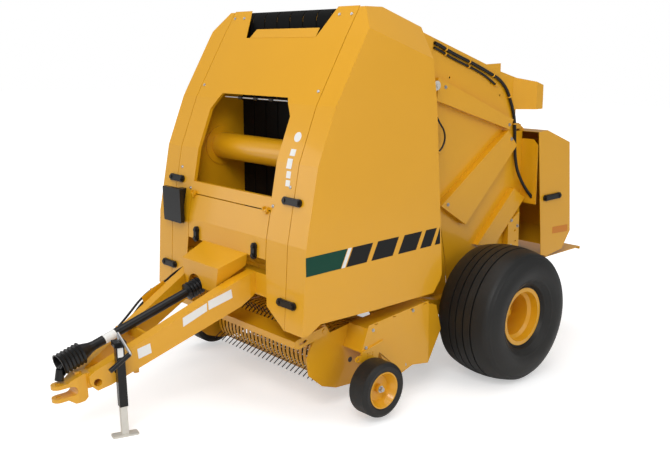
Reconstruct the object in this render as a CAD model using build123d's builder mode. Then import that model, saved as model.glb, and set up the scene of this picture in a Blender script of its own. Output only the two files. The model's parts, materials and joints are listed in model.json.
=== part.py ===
from build123d import *
import os
from math import atan2, cos, pi, radians, sin, tan

# A towed round baler for bales 1.8 m across and 1.2 m wide.
# Lengths are millimetres. The machine is drawn level, with the axle line at y = 0, the floor
# under the wheels at z = 0 and its left side at +X. The hitch is at the front, towards -Y.
# It is then set down as it parks, nose down on its jack, by the last section.

# Stance
nose_down = 3.0

# Bale chamber, which the widths of the machine follow
chamber_half = 595.0
wall_sheet = 6.0
panel_sheet = 5.0
shield_sheet = 5.0
seam_gap = 8.0
fit_gap = 0.3
bearing_gap = 0.05
wall_front_z = (880.0, 1340.0, 1850.0, 2215.0, 2650.0, 2825.0)
wall_top = ((-1120.0, 2825.0), (-1060.0, 2780.0), (-700.0, 2690.0), (-600.0, 2690.0), (-562.0, 2670.0),
            (-555.0, 2640.0), (-570.0, 2608.0), (-591.0, 2590.0))
wall_bottom = ((-260.0, 640.0), (-1130.0, 700.0), (-1700.0, 790.0), (-1890.0, 820.0))
wall_outer = chamber_half + wall_sheet

# Main wheels
half_track = wall_outer + 388.0
tyre_radius = 525.0
tyre_width = 546.0
tyre_shoulder_drop = 33.0
tyre_shoulder_inset = 51.0
tyre_belly_share = 0.58
tyre_grooves = (-165.0, -60.0, 60.0, 165.0)
tyre_groove_width = 16.0
tyre_groove_depth = 15.0
rim_radius = 204.0
rim_width = 394.0
rim_flange = 22.0
rim_bead_seat = 12.0
rim_sheet = 8.0
rim_disc_inset = 20.0
rim_step = (55.0, 10.0)
rim_disc_step = (75.0, 34.0)
rim_disc_thickness = 12.0
hub_radius = 62.0
hub_length = 150.0
hub_nose = 42.0
cap_radius = 34.0
cap_length = 44.0
spindle_radius = 30.0

# Bale belts and their rollers
roller_radius = 62.0
belt_count = 8
belt_pitch = (2 * chamber_half - 14.0) / belt_count
belt_width = belt_pitch - 9.0
belt_thickness = 8.0

# Front panel, seen from the side: where the sheet bends, as (y, z)
front_bends = ((-1950.0, 765.0), (-1905.0, 1340.0), (-1795.0, 1850.0), (-1640.0, 2215.0),
               (-1375.0, 2650.0), (-1248.0, 2845.0))
front_depth = (-2100.0, -1100.0)
cut_beyond = 65.0
strip_outer = wall_outer + 99.0
strip_inner = chamber_half - 115.0
strip_low_z = 765.0
strip_top_z = 2845.0
strip_heel_z = 890.0
strip_heel = 25.0
ear_inner = strip_inner + 10.0
panel_top_z = 2645.0
panel_top_half = chamber_half - 195.0
window_sill_z = 1612.0
window_head_z = 2251.0
window_half = strip_inner - 8.0
window_head_half = window_half - 89.0
window_knee_z = 2135.0
window_lip = 4.0
window_lip_depth = 22.0
door_top_z = 1520.0
door_half = strip_inner - 6.0
door_pin = (-1877.0, 1524.0)
door_pin_radius = 6.0
door_hinge_x = (34.0 - door_half, door_half - 34.0)
door_bottom_z = 1200.0

# Side shields
shield_x = wall_outer + 288.0
shield_seam_x = strip_outer + 6.0
shield_top_z = strip_top_z - 7.0
shield_low_z = 768.0
shield_pin_x = shield_x - 21.0
shield_pin_ends = ((-631.0, 926.0), (-712.0, 2205.0))
shield_pin_radius = 6.0
shield_hinge_z = (1150.0, 2250.0)
shield_rear = ((-657.0, 2712.0), (-731.0, 2488.0), (-690.0, 2205.0), (-629.0, 1305.0), (-609.0, 926.0))
shield_bottom = ((-629.0, 884.0), (-700.0, 801.0), (-1274.0, 805.0), (-1796.0, 823.0), (-1871.0, 782.0),
                 (-1905.0, shield_low_z))
shoulder_point = (shield_x, -1360.0, 2704.0)
shoulder_normal = (1.3196, 0.3434, 1.0)

# Cover of the gearbox, on the front door
cover_half = 270.0
cover_front_half = 225.0
cover_top_z = 1205.0
cover_front_y = -2130.0
cover_front_top_z = 1127.0
cover_bottom_z = 950.0
notch_x = -70.0
notch_radius = 90.0
notch_centre_z = 945.0

# Running gear and frame
rail_x = (wall_outer, wall_outer + 84.0)
rail_outline = ((-1860.0, 905.0), (-1100.0, 760.0), (-420.0, 640.0), (-120.0, 640.0), (90.0, 590.0),
                (90.0, 465.0), (-130.0, 465.0), (-480.0, 530.0), (-860.0, 560.0), (-1060.0, 640.0),
                (-1100.0, 700.0), (-1860.0, 855.0))
axle_tube = 120.0
cross_y = (-1905.0, -1825.0)
cross_z = (930.0, 1090.0)
cross_half = chamber_half

# Tongue, as (y, z) from the side and (x, y) from above
beam_upper = ((-1905.0, 1092.0), (-2050.0, 1042.0), (-3000.0, 603.0))
beam_lower = ((-3036.0, 575.0), (-3030.0, 520.0), (-2990.0, 470.0), (-2905.0, 492.0), (-2020.0, 862.0),
              (-1905.0, 940.0))
beam_inner = ((6.0, -3100.0), (258.0, -1905.0))
beam_outer = ((78.0, -3100.0), (340.0, -1950.0))
nose_y = (-3036.0, -2890.0)
nose_z = (490.0, 590.0)
nose_half = 70.0
nose_hole = (-2986.0, 525.0)
nose_hole_radius = 25.0
under_tab = ((-2745.0, 575.0), (-2735.0, 520.0), (-2725.0, 516.0), (-2700.0, 516.0), (-2700.0, 590.0))
under_tab_x = (100.0, 112.0)
guard_rest_z = 770.5
guard_rest_y = (-2640.0, -2620.0)
guard_rest_half = 118.0

# Hitch
hitch_y = -3205.0
hitch_z = 490.0
hitch_bore = 16.5
tang_thickness = 25.0
tang_gap = 60.0
tang_half_width = 44.0
head_half = 60.0
head_back_y = nose_y[0]
head_slot_y = -3130.0
head_top = ((-3100.0, 578.0), (-3060.0, 590.0))
head_bottom = ((-3060.0, 408.0), (-3118.0, 405.0))
head_nut_y = -3072.0
head_nut_radius = 24.0
head_nut_height = 24.0

# Driveline
shaft_rear = (-70.0, -2085.0, 950.0)
shaft_front = (-30.0, -2870.0, 742.0)
guard_radius = 31.0
guard_start = 14.0
stub_radius = 22.0
gearbox_x = (-190.0, 50.0)
gearbox_front_y = -2060.0
gearbox_z = (900.0, 1085.0)
rear_boot_radius = 62.0
rear_boot_folds = 4
boot_pitch = 26.0
boot_fold = 9.0
neck_length = 96.0
boot_start = 165.0
boot_radius = 74.0
front_boot_folds = 6
boot_cup = 40.0
yoke_stub_radius = 17.0
yoke_tube = ((-16.0, -3172.0, 632.0), (-14.0, -3188.0, 562.0))
yoke_radius = 28.0

# Jack
jack_x = 176.0
jack_y = -2862.0
jack_tube_half = 27.0
jack_leg_half = 21.5
jack_wall = 5.0
jack_top_z = 782.0
jack_tube_bottom_z = 355.0
jack_pivot_z = 588.0
jack_pin_radius = 20.0
jack_pin_end = 22.8
jack_flange_radius = 58.0
jack_foot = (70.0, 170.0, 12.0)
jack_foot_corner = 14.0
jack_cap = (80.0, 78.0, 22.0)
jack_leg_top_z = 592.0
crank_top_z = 842.0
crank_elbow = (322.0, 748.0)
crank_grip_end = (-3003.0, 672.0)
crank_radius = 9.0
grip_radius = 14.0

# Pickup
pickup_pivot = (-800.0, 600.0)
pickup_half = rail_x[1] + 27.0
pickup_sheet = 6.0
pickup_outline = ((-1708.0, 640.0), (-1774.0, 527.0), (-1760.0, 400.0), (-1640.0, 290.0), (-1512.0, 242.0),
                  (-1371.0, 231.0), (-1180.0, 300.0), (-900.0, 420.0), (-740.0, 540.0), (-740.0, 650.0),
                  (-860.0, 660.0), (-1340.0, 690.0), (-1560.0, 660.0), (-1605.0, 732.0), (-1672.0, 732.0))
reel_half = pickup_half - 32.0
reel_centre = (-1375.0, 415.0)
reel_tip_radius = 268.0
reel_bar_radius = 140.0
reel_bar_count = 4
reel_bar_turn = 0.35
tine_count = 28
tine_pitch = 2 * (reel_half - 25.0) / (tine_count - 1)
tine_radius = 4.0
reel_shaft_radius = 20.0
reel_bar_tube = 14.0
reel_disc = 12.0
band_radius = 192.0
band_width = tine_pitch - 18.0
band_sheet = 3.0
back_sheet_y = -1095.0
back_sheet_z = (210.0, 620.0)
back_tube = (-1030.0, 420.0)
back_tube_radius = 38.0
guard_face_x = pickup_half + 188.0
guard_sheet = 4.0
guard_fold = (-760.0, 44.0)
guard_outline = ((-648.0, 694.0), (-574.0, 484.0), (-764.0, 276.0), (-931.0, 306.0), (-1043.0, 275.0),
                 (-1240.0, 438.0), (-1291.0, 542.0), (-1442.0, 534.0), (-1380.0, 690.0), (-761.0, 735.0))
guard_flange = ((-1380.0, 684.0), (-761.0, 729.0), (-765.0, 757.0), (-1370.0, 712.0))
guard_slots = ((-1300.0, 706.0), (-1120.0, 719.0), (-940.0, 732.0), (-800.0, 742.0))
arm_x = (guard_face_x, guard_face_x + 12.0)
arm_outline = ((-1450.0, 540.0), (-1240.0, 580.0), (-1017.0, 360.0), (-1017.0, 300.0), (-1060.0, 300.0),
               (-1280.0, 500.0), (-1385.0, 270.0), (-1430.0, 270.0), (-1450.0, 330.0))
arm_loop = ((-1490.0, 474.0), (-1504.0, 488.0), (-1504.0, 504.0), (-1490.0, 518.0), (-1440.0, 518.0),
            (-1440.0, 474.0))
arm_loop_hole = (-1480.0, 496.0)
arm_loop_radius = 12.0
arm_holes = (-1372.0, 508.0)
arm_hole_pitch = 22.0
arm_hole_radius = 5.0

# Gauge wheels of the pickup
gauge_x = arm_x[1] + 96.0
gauge_y = -1405.0
gauge_z = 305.5
gauge_radius = 193.0
gauge_width = 169.0
gauge_rim_radius = 128.0
gauge_rim_width = 150.0
gauge_hub_radius = 30.0
gauge_spindle_radius = 12.0

# Windguard
windguard_pivot = (-1640.0, 700.0)
windguard_half = pickup_half + 33.0
windguard_sheet = 4.0
windguard_end_sheet = 6.0
windguard_front = (-1900.0, 640.0, 686.0)
windguard_back = (-1765.0, 708.0)
windguard_brackets = 5
windguard_end = (((-1865.0, 662.0), 34.0), ((-1765.0, 690.0), 22.0), ((-1640.0, 700.0), 32.0))
windguard_slot = ((-1850.0, 662.0), (-1800.0, 672.0))
windguard_slot_radius = 9.0

# Inside the front frame
tube_centre = (-1500.0, 1840.0)
tube_radius = 100.0
tube_flange_radius = 148.0
tube_flange = 10.0
front_roller_centres = ((-1210.0, 2762.0), (-1245.0, 1070.0), (-720.0, 2600.0))
drum_centre = (-1250.0, 860.0)
drum_radius = 100.0
drum_rib_count = 10
drum_rib_bends = 6
drum_rib_sweep = 14.0
drum_shaft_radius = 25.0
drum_rib_radius = 11.0

# Tailgate
ramp_z = 745.0
seam = ((-585.0, 2600.0), (-235.0, 900.0), (-215.0, 700.0))
tail_roller_centres = ((-420.0, 2500.0), (500.0, 2200.0), (530.0, 950.0), (-90.0, 800.0))
lug_x = (wall_outer + 6.0, wall_outer + 18.0)
rib_x = wall_outer + 54.0
rib_outlines = (
    ((-409.0, 2343.0), (525.0, 1968.0), (475.0, 1891.0), (-423.0, 2175.0)),
    ((460.0, 1884.0), (-357.0, 1368.0), (-59.0, 1178.0), (584.0, 1750.0)),
    ((564.0, 1389.0), (718.0, 1289.0), (320.0, 943.0), (96.0, 982.0)),
    ((500.0, 1100.0), (650.0, 1180.0), (650.0, 880.0), (500.0, 860.0)),
)
rib_holes = ((596.0, 1024.0), (606.0, 929.0))
rib_hole_depth = 20.0
cover_sheet = 5.0
tail_pivot = (-600.0, 2640.0)
tail_top = (-530.0, 2672.0)
tail_hip = (400.0, 2360.0)
tail_back_y = 620.0
tail_foot_y = 722.0
tail_foot_z = (790.0, 1860.0)
tail_toe = ((480.0, 740.0), (-150.0, 700.0), (-215.0, 700.0), (-235.0, 900.0))
tail_front_edge = ((-582.0, 2585.0), (-560.0, 2588.0), (-538.0, 2640.0))
tail_sheet = 6.0
tail_wing_sheet = 4.0
tail_cross_z = ((1700.0, 1858.0), (ramp_z, 950.0))
tail_holes = ((-222.0, 2335.0), (275.0, 2272.0), (402.0, 2168.0))
tail_hole_radius = 9.0
tail_tab = ((225.0, 2410.0), (232.0, 2421.0), (403.0, 2424.0), (403.0, 2350.0), (380.0, 2350.0))
lug_foot = ((-530.0, 2655.0), (-430.0, 2620.0), (-450.0, 2520.0), (-545.0, 2570.0))
lug_outline = ((-600.0, 2680.0), (-430.0, 2620.0), (-450.0, 2520.0), (-600.0, 2600.0))
wing_z = (1246.0, 1793.0)
wing_corner = 45.0
hood_slope = 0.329
hood_half = wall_outer + 154.0
hood_flare_y = 575.0
hood_wide_y = 690.0
hood_rear_y = 780.0
hood_rear_z = 2240.0
hood_low_z = 2045.0
hood_sheet = 4.0
net_side_x = wall_outer + 164.0
net_pivot = (700.0, 1900.0)
net_pin_radius = 8.0
net_lug = ((618.0, 1870.0), (618.0, 1930.0), (712.0, 1912.0), (712.0, 1886.0))
net_hinge = ((682.0, 1912.0), (715.0, 1920.0), (800.0, 1860.0), (745.0, 1853.0), (685.0, 1884.0))
net_lug_x = (40.0 - chamber_half, chamber_half - 40.0)
net_outline = ((732.0, 1856.0), (855.0, 1862.0), (1192.0, 1733.0), (1262.0, 935.0), (1145.0, 791.0),
               (914.0, 760.0), (828.0, 789.0))
net_inside = ((700.0, 1852.0), (854.0, 1858.0), (1188.0, 1730.0), (1258.0, 936.0), (1142.0, 794.0),
              (1142.0, 700.0), (700.0, 700.0))
ramp_half = wall_outer + 134.0
ramp_tip_y = 1490.0
ramp_sheet = 6.0

# Tailgate cylinders
cylinder_x = wall_outer + 89.0
cylinder_base = (-1020.0, 1360.0)
cylinder_eye = (-480.0, 2290.0)
barrel_radius = 38.0
rod_radius = 20.0
pin_radius = 16.0
eye_radius = 34.0
eye_half = 18.0
barrel_end = 640.0
rod_start = 245.0

# Hoses, as routes of points (x, y, z), and what holds them
hose_bend_share = 0.45
clip_half = 5.0
clip_wall = 5.0
gland_radius = 15.0
gland_length = 12.0
bundle_radius = 13.0
bundle_x = wall_outer + bundle_radius + 1.5
bundle_route = ((bundle_x, -412.0, 2594.0), (bundle_x, -342.0, 2570.0), (bundle_x, -240.0, 2526.0),
                (bundle_x, -90.0, 2474.0), (bundle_x, 60.0, 2424.0), (bundle_x, 198.0, 2370.0),
                (bundle_x, 372.0, 2300.0), (bundle_x, 476.0, 2213.0), (bundle_x, 540.0, 2094.0),
                (bundle_x, 588.0, 1980.0), (bundle_x, 599.0, 1872.0), (bundle_x, 605.0, 1761.0),
                (bundle_x + 4.0, 609.0, 1655.0), (bundle_x + 18.0, 622.0, 1540.0),
                (bundle_x + 46.0, 652.0, 1440.0), (bundle_x + 74.0, 692.0, 1360.0),
                (bundle_x + 98.0, 734.0, 1300.0))
bundle_clips = (1, 3, 5, 7, 9)
branch_radius = 9.0
branch_x = wall_outer + branch_radius + 1.5
branch_route = ((branch_x, -414.0, 2560.0), (branch_x, -340.0, 2534.0), (branch_x, -240.0, 2490.0),
                (branch_x, -90.0, 2436.0), (branch_x, 60.0, 2388.0), (branch_x, 200.0, 2330.0),
                (branch_x, 320.0, 2262.0))
branch_clips = (1, 3)
link_radius = 7.0
link_x = wall_outer + 39.0
link_route = ((link_x, -409.0, 2059.0), (link_x, -372.0, 2004.0), (link_x, -324.0, 1952.0),
              (link_x, -306.0, 1888.0), (link_x, -330.0, 1826.0), (link_x, -380.0, 1786.0))
tongue_hose_radius = 8.0
tongue_hose_routes = (
    ((-362.0, cross_y[0] - 12.0, 975.0), (-362.0, -2010.0, 975.0), (-340.0, -2110.0, 944.0),
     (-308.0, -2210.0, 916.0), (-301.5, -2290.0, 900.0), (-301.5, -2372.0, 866.0), (-300.0, -2440.0, 824.0),
     (-276.0, -2516.0, 768.0), (-252.0, -2590.0, 722.0), (-224.0, -2670.0, 692.0)),
    ((-402.0, cross_y[0] - 12.0, 1000.0), (-402.0, -2010.0, 1000.0), (-372.0, -2120.0, 975.0),
     (-318.0, -2220.0, 950.0), (-301.5, -2300.0, 932.0), (-301.5, -2390.0, 894.0), (-300.0, -2460.0, 846.0),
     (-276.0, -2540.0, 792.0), (-252.0, -2620.0, 742.0), (-224.0, -2700.0, 706.0)),
)
holder_x = (-292.0, -288.0)
holder_outline = ((-2260.0, 965.0), (-2433.0, 881.0), (-2407.0, 782.0), (-2222.0, 843.0), (-2190.0, 893.0))
holder_slots = ((-2270.0, 905.0), (-2350.0, 830.0))

# Tool case
tool_x = (-742.0, -500.0)
tool_y = (-1958.0, -1926.0)
tool_z = (1300.0, 1560.0)
tool_corner = 14.0
tool_bracket_z = (1300.0, 1340.0, 1550.0)

pieces = {}
slope = radians(nose_down)
beam_slant = atan2(beam_outer[1][0] - beam_outer[0][0], beam_outer[1][1] - beam_outer[0][1])
jack_normal = Vector(cos(beam_slant), -sin(beam_slant), 0)
jack_pivot = Vector(jack_x, jack_y, jack_pivot_z)


def floor_z(y):
    """Height of the floor, in the level drawing, once the machine is parked nose down."""
    return tyre_radius - (tyre_radius + y * sin(slope)) / cos(slope)


def side_outline(points, x_from, x_to, mode=Mode.ADD):
    """A plate whose outline is drawn in the side view, as (y, z) points."""
    with BuildSketch(Plane.YZ.offset(x_from)) as outline:
        with BuildLine():
            Polyline(*points, close=True)
        make_face()
    extrude(outline.sketch, amount=x_to - x_from, mode=mode)


def block(x_range, y_range, z_range, mode=Mode.ADD):
    """A block between two corners."""
    size = [abs(high - low) for low, high in (x_range, y_range, z_range)]
    centre = [(high + low) / 2 for low, high in (x_range, y_range, z_range)]
    with Locations(tuple(centre)):
        Box(*size, mode=mode)


def rod(start, end, radius, bore=0.0, mode=Mode.ADD):
    """A round bar between two points, a tube if it has a bore."""
    along = Vector(*end) - Vector(*start)
    with BuildSketch(Plane(origin=start, z_dir=along)) as section:
        Circle(radius)
        if bore:
            Circle(bore, mode=Mode.SUBTRACT)
    extrude(section.sketch, amount=along.length, mode=mode)


def turned(points, centre_x, centre_y, centre_z):
    """A body of revolution about a line along X; points are (x, radius)."""
    plane = Plane(origin=(centre_x, centre_y, centre_z), x_dir=(1, 0, 0), z_dir=(0, -1, 0))
    with BuildSketch(plane) as half:
        with BuildLine():
            Polyline(*points, close=True)
        make_face()
    revolve(half.sketch, axis=Axis((centre_x, centre_y, centre_z), (1, 0, 0)))


def bellows(start, direction, points):
    """A body of revolution about a slanting line; points are (distance along it, radius)."""
    across = direction.cross(Vector(1, 0, 0)).normalized()
    plane = Plane(origin=tuple(start), x_dir=tuple(direction), z_dir=tuple(direction.cross(across)))
    with BuildSketch(plane) as half:
        with BuildLine():
            Polyline(*points, close=True)
        make_face()
    revolve(half.sketch, axis=Axis(tuple(start), tuple(direction)))


def hose(route, radius):
    """A hose along a row of points, each bend as wide as the runs beside it allow."""
    points = [Vector(*point) for point in route]
    bends = []
    for before, here, after in zip(points, points[1:], points[2:]):
        arriving = here - before
        leaving = after - here
        half_turn = radians(arriving.get_angle(leaving)) / 2
        bends.append(hose_bend_share * min(arriving.length, leaving.length) / tan(half_turn))
    print("bends", [round(bend) for bend in bends])
    with BuildLine() as path:
        FilletPolyline(*route, radius=bends)
    with BuildSketch(Plane(origin=route[0], z_dir=points[1] - points[0])) as section:
        Circle(radius)
    sweep(section.sketch, path=path.line)


def clip(route, run, radius, stand=0.0):
    """A ring round the middle of one run of a hose; a stand is the rod that carries it, along X."""
    start = Vector(*route[run])
    along = Vector(*route[run + 1]) - start
    middle = start + along / 2
    reach = along.normalized() * clip_half
    rod(tuple(middle - reach), tuple(middle + reach), radius + clip_wall)
    if stand:
        rod(tuple(middle), tuple(middle + Vector(stand, 0, 0)), clip_half)
    rod(tuple(middle - reach * 2), tuple(middle + reach * 2), radius + fit_gap, mode=Mode.SUBTRACT)


def keep(name, part):
    part.label = name
    pieces[name] = part


def shield_pin_y(z):
    """Where the hinge line of a side shield stands at a height."""
    (y0, z0), (y1, z1) = shield_pin_ends
    return y0 + (z - z0) * (y1 - y0) / (z1 - z0)


def both_sides(name, part):
    """Keeps a left piece and its mirror image as two nodes."""
    keep(f"{name}_left", part)
    keep(f"{name}_right", mirror(part, about=Plane.YZ))


def front_y(z, inset=0.0):
    """Where the front panel stands at a height, straight between its bends."""
    for (y0, z0), (y1, z1) in zip(front_bends, front_bends[1:]):
        if z <= z1 or (y1, z1) == front_bends[-1]:
            return y0 + (z - z0) * (y1 - y0) / (z1 - z0) + inset


def front_sheet(x_from, x_to, z_from, z_to, thickness, inset=0.0):
    """The bent front sheet between two heights, as thick as given, behind the panel line."""
    heights = [z_from] + [z for _, z in front_bends if z_from < z < z_to] + [z_to]
    outer = [(front_y(z, inset), z) for z in heights]
    inner = [(y + thickness, z) for y, z in outer]
    side_outline(outer + inner[::-1], x_from, x_to)


# Main wheels: a tyre with ribs, a rim with a deep disc and a hub
rim_flange_radius = rim_radius + rim_flange
with BuildPart() as tyre:
    half = tyre_width / 2
    bead = (rim_width / 2 - rim_sheet - fit_gap, rim_radius + fit_gap)
    bead_top = (bead[0], rim_flange_radius + rim_bead_seat)
    tread_end = (half - tyre_shoulder_inset, tyre_radius - tyre_shoulder_drop)
    belly = (half, bead_top[1] + tyre_belly_share * (tread_end[1] - bead_top[1]))
    with BuildSketch(Plane(origin=(half_track, 0, tyre_radius), x_dir=(1, 0, 0),
                           z_dir=(0, -1, 0))) as section:
        with BuildLine():
            Polyline((-bead[0], bead[1]), bead, bead_top)
            ThreePointArc(bead_top, belly, tread_end)
            ThreePointArc(tread_end, (0, tyre_radius), (-tread_end[0], tread_end[1]))
            ThreePointArc((-tread_end[0], tread_end[1]), (-belly[0], belly[1]), (-bead_top[0], bead_top[1]))
            Line((-bead_top[0], bead_top[1]), (-bead[0], bead[1]))
        make_face()
        with Locations(*[(x, tyre_radius) for x in tyre_grooves]):
            Rectangle(tyre_groove_width, 2 * tyre_groove_depth, mode=Mode.SUBTRACT)
    revolve(section.sketch, axis=Axis((half_track, 0, tyre_radius), (1, 0, 0)))
both_sides("main_tyre", tyre.part)

with BuildPart() as rim:
    half = rim_width / 2
    disc = -rim_disc_inset
    barrel = rim_radius - rim_sheet
    step, step_in = rim_step
    dish, dish_in = rim_disc_step
    hub_back = disc - hub_length + hub_nose + 4
    turned([(-half, rim_flange_radius), (-half + rim_sheet, rim_flange_radius),
            (-half + rim_sheet, rim_radius),
            (half - rim_sheet, rim_radius), (half - rim_sheet, rim_flange_radius), (half, rim_flange_radius),
            (half, barrel), (half - step, barrel - step_in), (half - dish, barrel - dish_in),
            (disc, barrel - dish_in), (disc, hub_radius + 14), (disc + 14, hub_radius),
            (disc + hub_nose, hub_radius),
            (disc + hub_nose + 4, cap_radius), (disc + hub_nose + cap_length - 2, cap_radius - 4),
            (disc + hub_nose + cap_length + 4, 0), (disc + 70, 0), (disc + 70, spindle_radius + bearing_gap),
            (hub_back, spindle_radius + bearing_gap), (hub_back, hub_radius - 12),
            (disc - rim_disc_thickness, hub_radius), (disc - rim_disc_thickness, barrel - dish_in - 12),
            (-half + dish, barrel - dish_in - 12), (-half + step, barrel - step_in - 6),
            (-half, barrel - 4)],
           half_track, 0, tyre_radius)
both_sides("main_rim", rim.part)

# Gauge wheels
with BuildPart() as gauge_tyre:
    half = gauge_width / 2
    bore = gauge_rim_radius + fit_gap
    turned([(-half + 12, bore), (half - 12, bore), (half - 4, bore + 12), (half, bore + 38),
            (half - 14, gauge_radius - 4), (half - 26, gauge_radius), (-half + 26, gauge_radius),
            (-half + 14, gauge_radius - 4), (-half, bore + 38), (-half + 4, bore + 12)], gauge_x, gauge_y,
            gauge_z)
both_sides("gauge_tyre", gauge_tyre.part)

with BuildPart() as gauge_rim:
    half = gauge_rim_width / 2
    shaft = gauge_spindle_radius + bearing_gap
    turned([(-half, gauge_rim_radius - 8), (-half, gauge_rim_radius), (half, gauge_rim_radius),
            (half, gauge_rim_radius - 8), (half - 40, gauge_rim_radius - 30), (12, gauge_rim_radius - 40),
            (12, gauge_hub_radius), (40, gauge_hub_radius), (40, shaft), (-half, shaft),
            (-half, gauge_hub_radius),
            (6, gauge_hub_radius), (6, gauge_rim_radius - 46), (-half + 40, gauge_rim_radius - 20)],
           gauge_x, gauge_y, gauge_z)
both_sides("gauge_rim", gauge_rim.part)

# Chamber side walls of the front frame: the rear edge is the seam with the tailgate
with BuildPart() as chamber_walls:
    front_edge = [(front_y(z, panel_sheet), z) for z in wall_front_z]
    rear_edge = [(y - seam_gap, z) for y, z in seam[1:]]
    side_outline(front_edge + list(wall_top) + rear_edge + list(wall_bottom), chamber_half, wall_outer)
    rod((chamber_half - 1, *drum_centre), (wall_outer + 1, *drum_centre), drum_shaft_radius + bearing_gap,
        mode=Mode.SUBTRACT)
    rod((wall_outer, *tail_pivot), (wall_outer + 26, *tail_pivot), pin_radius)
    for z in shield_hinge_z:
        pin_y = shield_pin_y(z)
        block((wall_outer, shield_pin_x - 26), (pin_y - 50, pin_y - 26), (z - 20, z + 20))
        block((shield_pin_x - 50, shield_pin_x - 26), (pin_y - 30, pin_y + 8), (z - 20, z + 20))
        block((shield_pin_x - 27, shield_pin_x + 6), (pin_y - 6, pin_y + 8), (z - 20, z - 12))
        rod((shield_pin_x, shield_pin_y(z - 16), z - 16), (shield_pin_x, shield_pin_y(z + 14), z + 14),
            shield_pin_radius)
    rod((wall_outer, *cylinder_base), (cylinder_x + 26, *cylinder_base), pin_radius)
    rod((wall_outer, *cylinder_base), (cylinder_x - 44, *cylinder_base), eye_radius)
    mirror(about=Plane.YZ)
keep("chamber_walls", chamber_walls.part)

# Frame: a rail on each side and the axle tube with its spindles
with BuildPart() as running_frame:
    side_outline(rail_outline, rail_x[0], rail_x[1])
    rod((rail_x[1], *pickup_pivot), (pickup_half + 8, *pickup_pivot), pin_radius)
    mirror(about=Plane.YZ)
    block((-rail_x[0], rail_x[0]), (-axle_tube / 2, axle_tube / 2),
          (tyre_radius - axle_tube / 2, tyre_radius + axle_tube / 2))
    spindle_end = half_track - rim_disc_inset + 66
    rod((rail_x[1], 0, tyre_radius), (spindle_end, 0, tyre_radius), spindle_radius)
    rod((-rail_x[1], 0, tyre_radius), (-spindle_end, 0, tyre_radius), spindle_radius)
keep("running_frame", running_frame.part)

with BuildPart() as front_crossbeam:
    block((-cross_half, cross_half), cross_y, cross_z)
    for route in tongue_hose_routes:
        rod((route[0][0], cross_y[0], route[0][2]), route[0], gland_radius)
keep("front_crossbeam", front_crossbeam.part)

# Front panel: two strips that end in ears, a recessed head and the window frame with its lip
window_outline = ((-window_half, window_sill_z), (window_half, window_sill_z), (window_half, window_knee_z),
                  (window_head_half, window_head_z), (-window_head_half, window_head_z),
                  (-window_half, window_knee_z))
strip_foot_z = strip_low_z - cut_beyond
with BuildPart() as window_frame:
    front_sheet(-strip_inner, strip_inner, window_sill_z - window_lip, window_head_z + window_lip,
                window_lip_depth, panel_sheet)
    with BuildSketch(Plane.XZ.offset(-front_depth[0])) as lip:
        with BuildLine():
            Polyline(*window_outline, close=True)
        make_face()
        offset(amount=window_lip, kind=Kind.INTERSECTION, mode=Mode.REPLACE)
        with BuildLine():
            Polyline(*window_outline, close=True)
        make_face(mode=Mode.SUBTRACT)
    extrude(lip.sketch, amount=front_depth[0] - front_depth[1], mode=Mode.INTERSECT)
with BuildPart() as front_panel:
    front_sheet(-strip_outer, strip_outer, strip_low_z, strip_top_z, panel_sheet)
    with BuildSketch(Plane.XZ.offset(-front_depth[0])) as cut:
        with BuildLine():
            Polyline((-ear_inner, strip_top_z + cut_beyond), (ear_inner, strip_top_z + cut_beyond),
                     (ear_inner, strip_top_z), (panel_top_half, panel_top_z), (-panel_top_half, panel_top_z),
                     (-ear_inner, strip_top_z), close=True)
        make_face()
        with BuildLine():
            Polyline(*window_outline, close=True)
        make_face()
        with BuildLine():
            Polyline((-strip_inner - 20, strip_foot_z), (strip_inner + 20, strip_foot_z),
                     (strip_inner + strip_heel, strip_heel_z), (strip_inner, door_bottom_z - 20),
                     (door_half + seam_gap, door_top_z + seam_gap),
                     (-door_half - seam_gap, door_top_z + seam_gap),
                     (-strip_inner, door_bottom_z - 20), (-strip_inner - strip_heel, strip_heel_z),
                     close=True)
        make_face()
        for side in (-1, 1):
            with BuildLine():
                Polyline((side * (strip_inner + strip_heel), strip_heel_z),
                         (side * strip_outer, strip_low_z),
                         (side * strip_outer, strip_foot_z), (side * strip_inner, strip_foot_z), close=True)
            make_face()
    extrude(cut.sketch, amount=front_depth[0] - front_depth[1], mode=Mode.SUBTRACT)
    add(window_frame.part)
    for x in door_hinge_x:
        rod((x - 26, *door_pin), (x + 26, *door_pin), door_pin_radius)
        for edge in (-26, 16):
            block((x + edge, x + edge + 10), (door_pin[0] - 10, door_pin[0] + 17),
                  (door_pin[1] + 6, door_pin[1] + 24))
            block((x + edge, x + edge + 10), (door_pin[0] - 10, door_pin[0] + 5),
                  (door_pin[1] - 6, door_pin[1] + 8))
keep("front_panel", front_panel.part)

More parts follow.
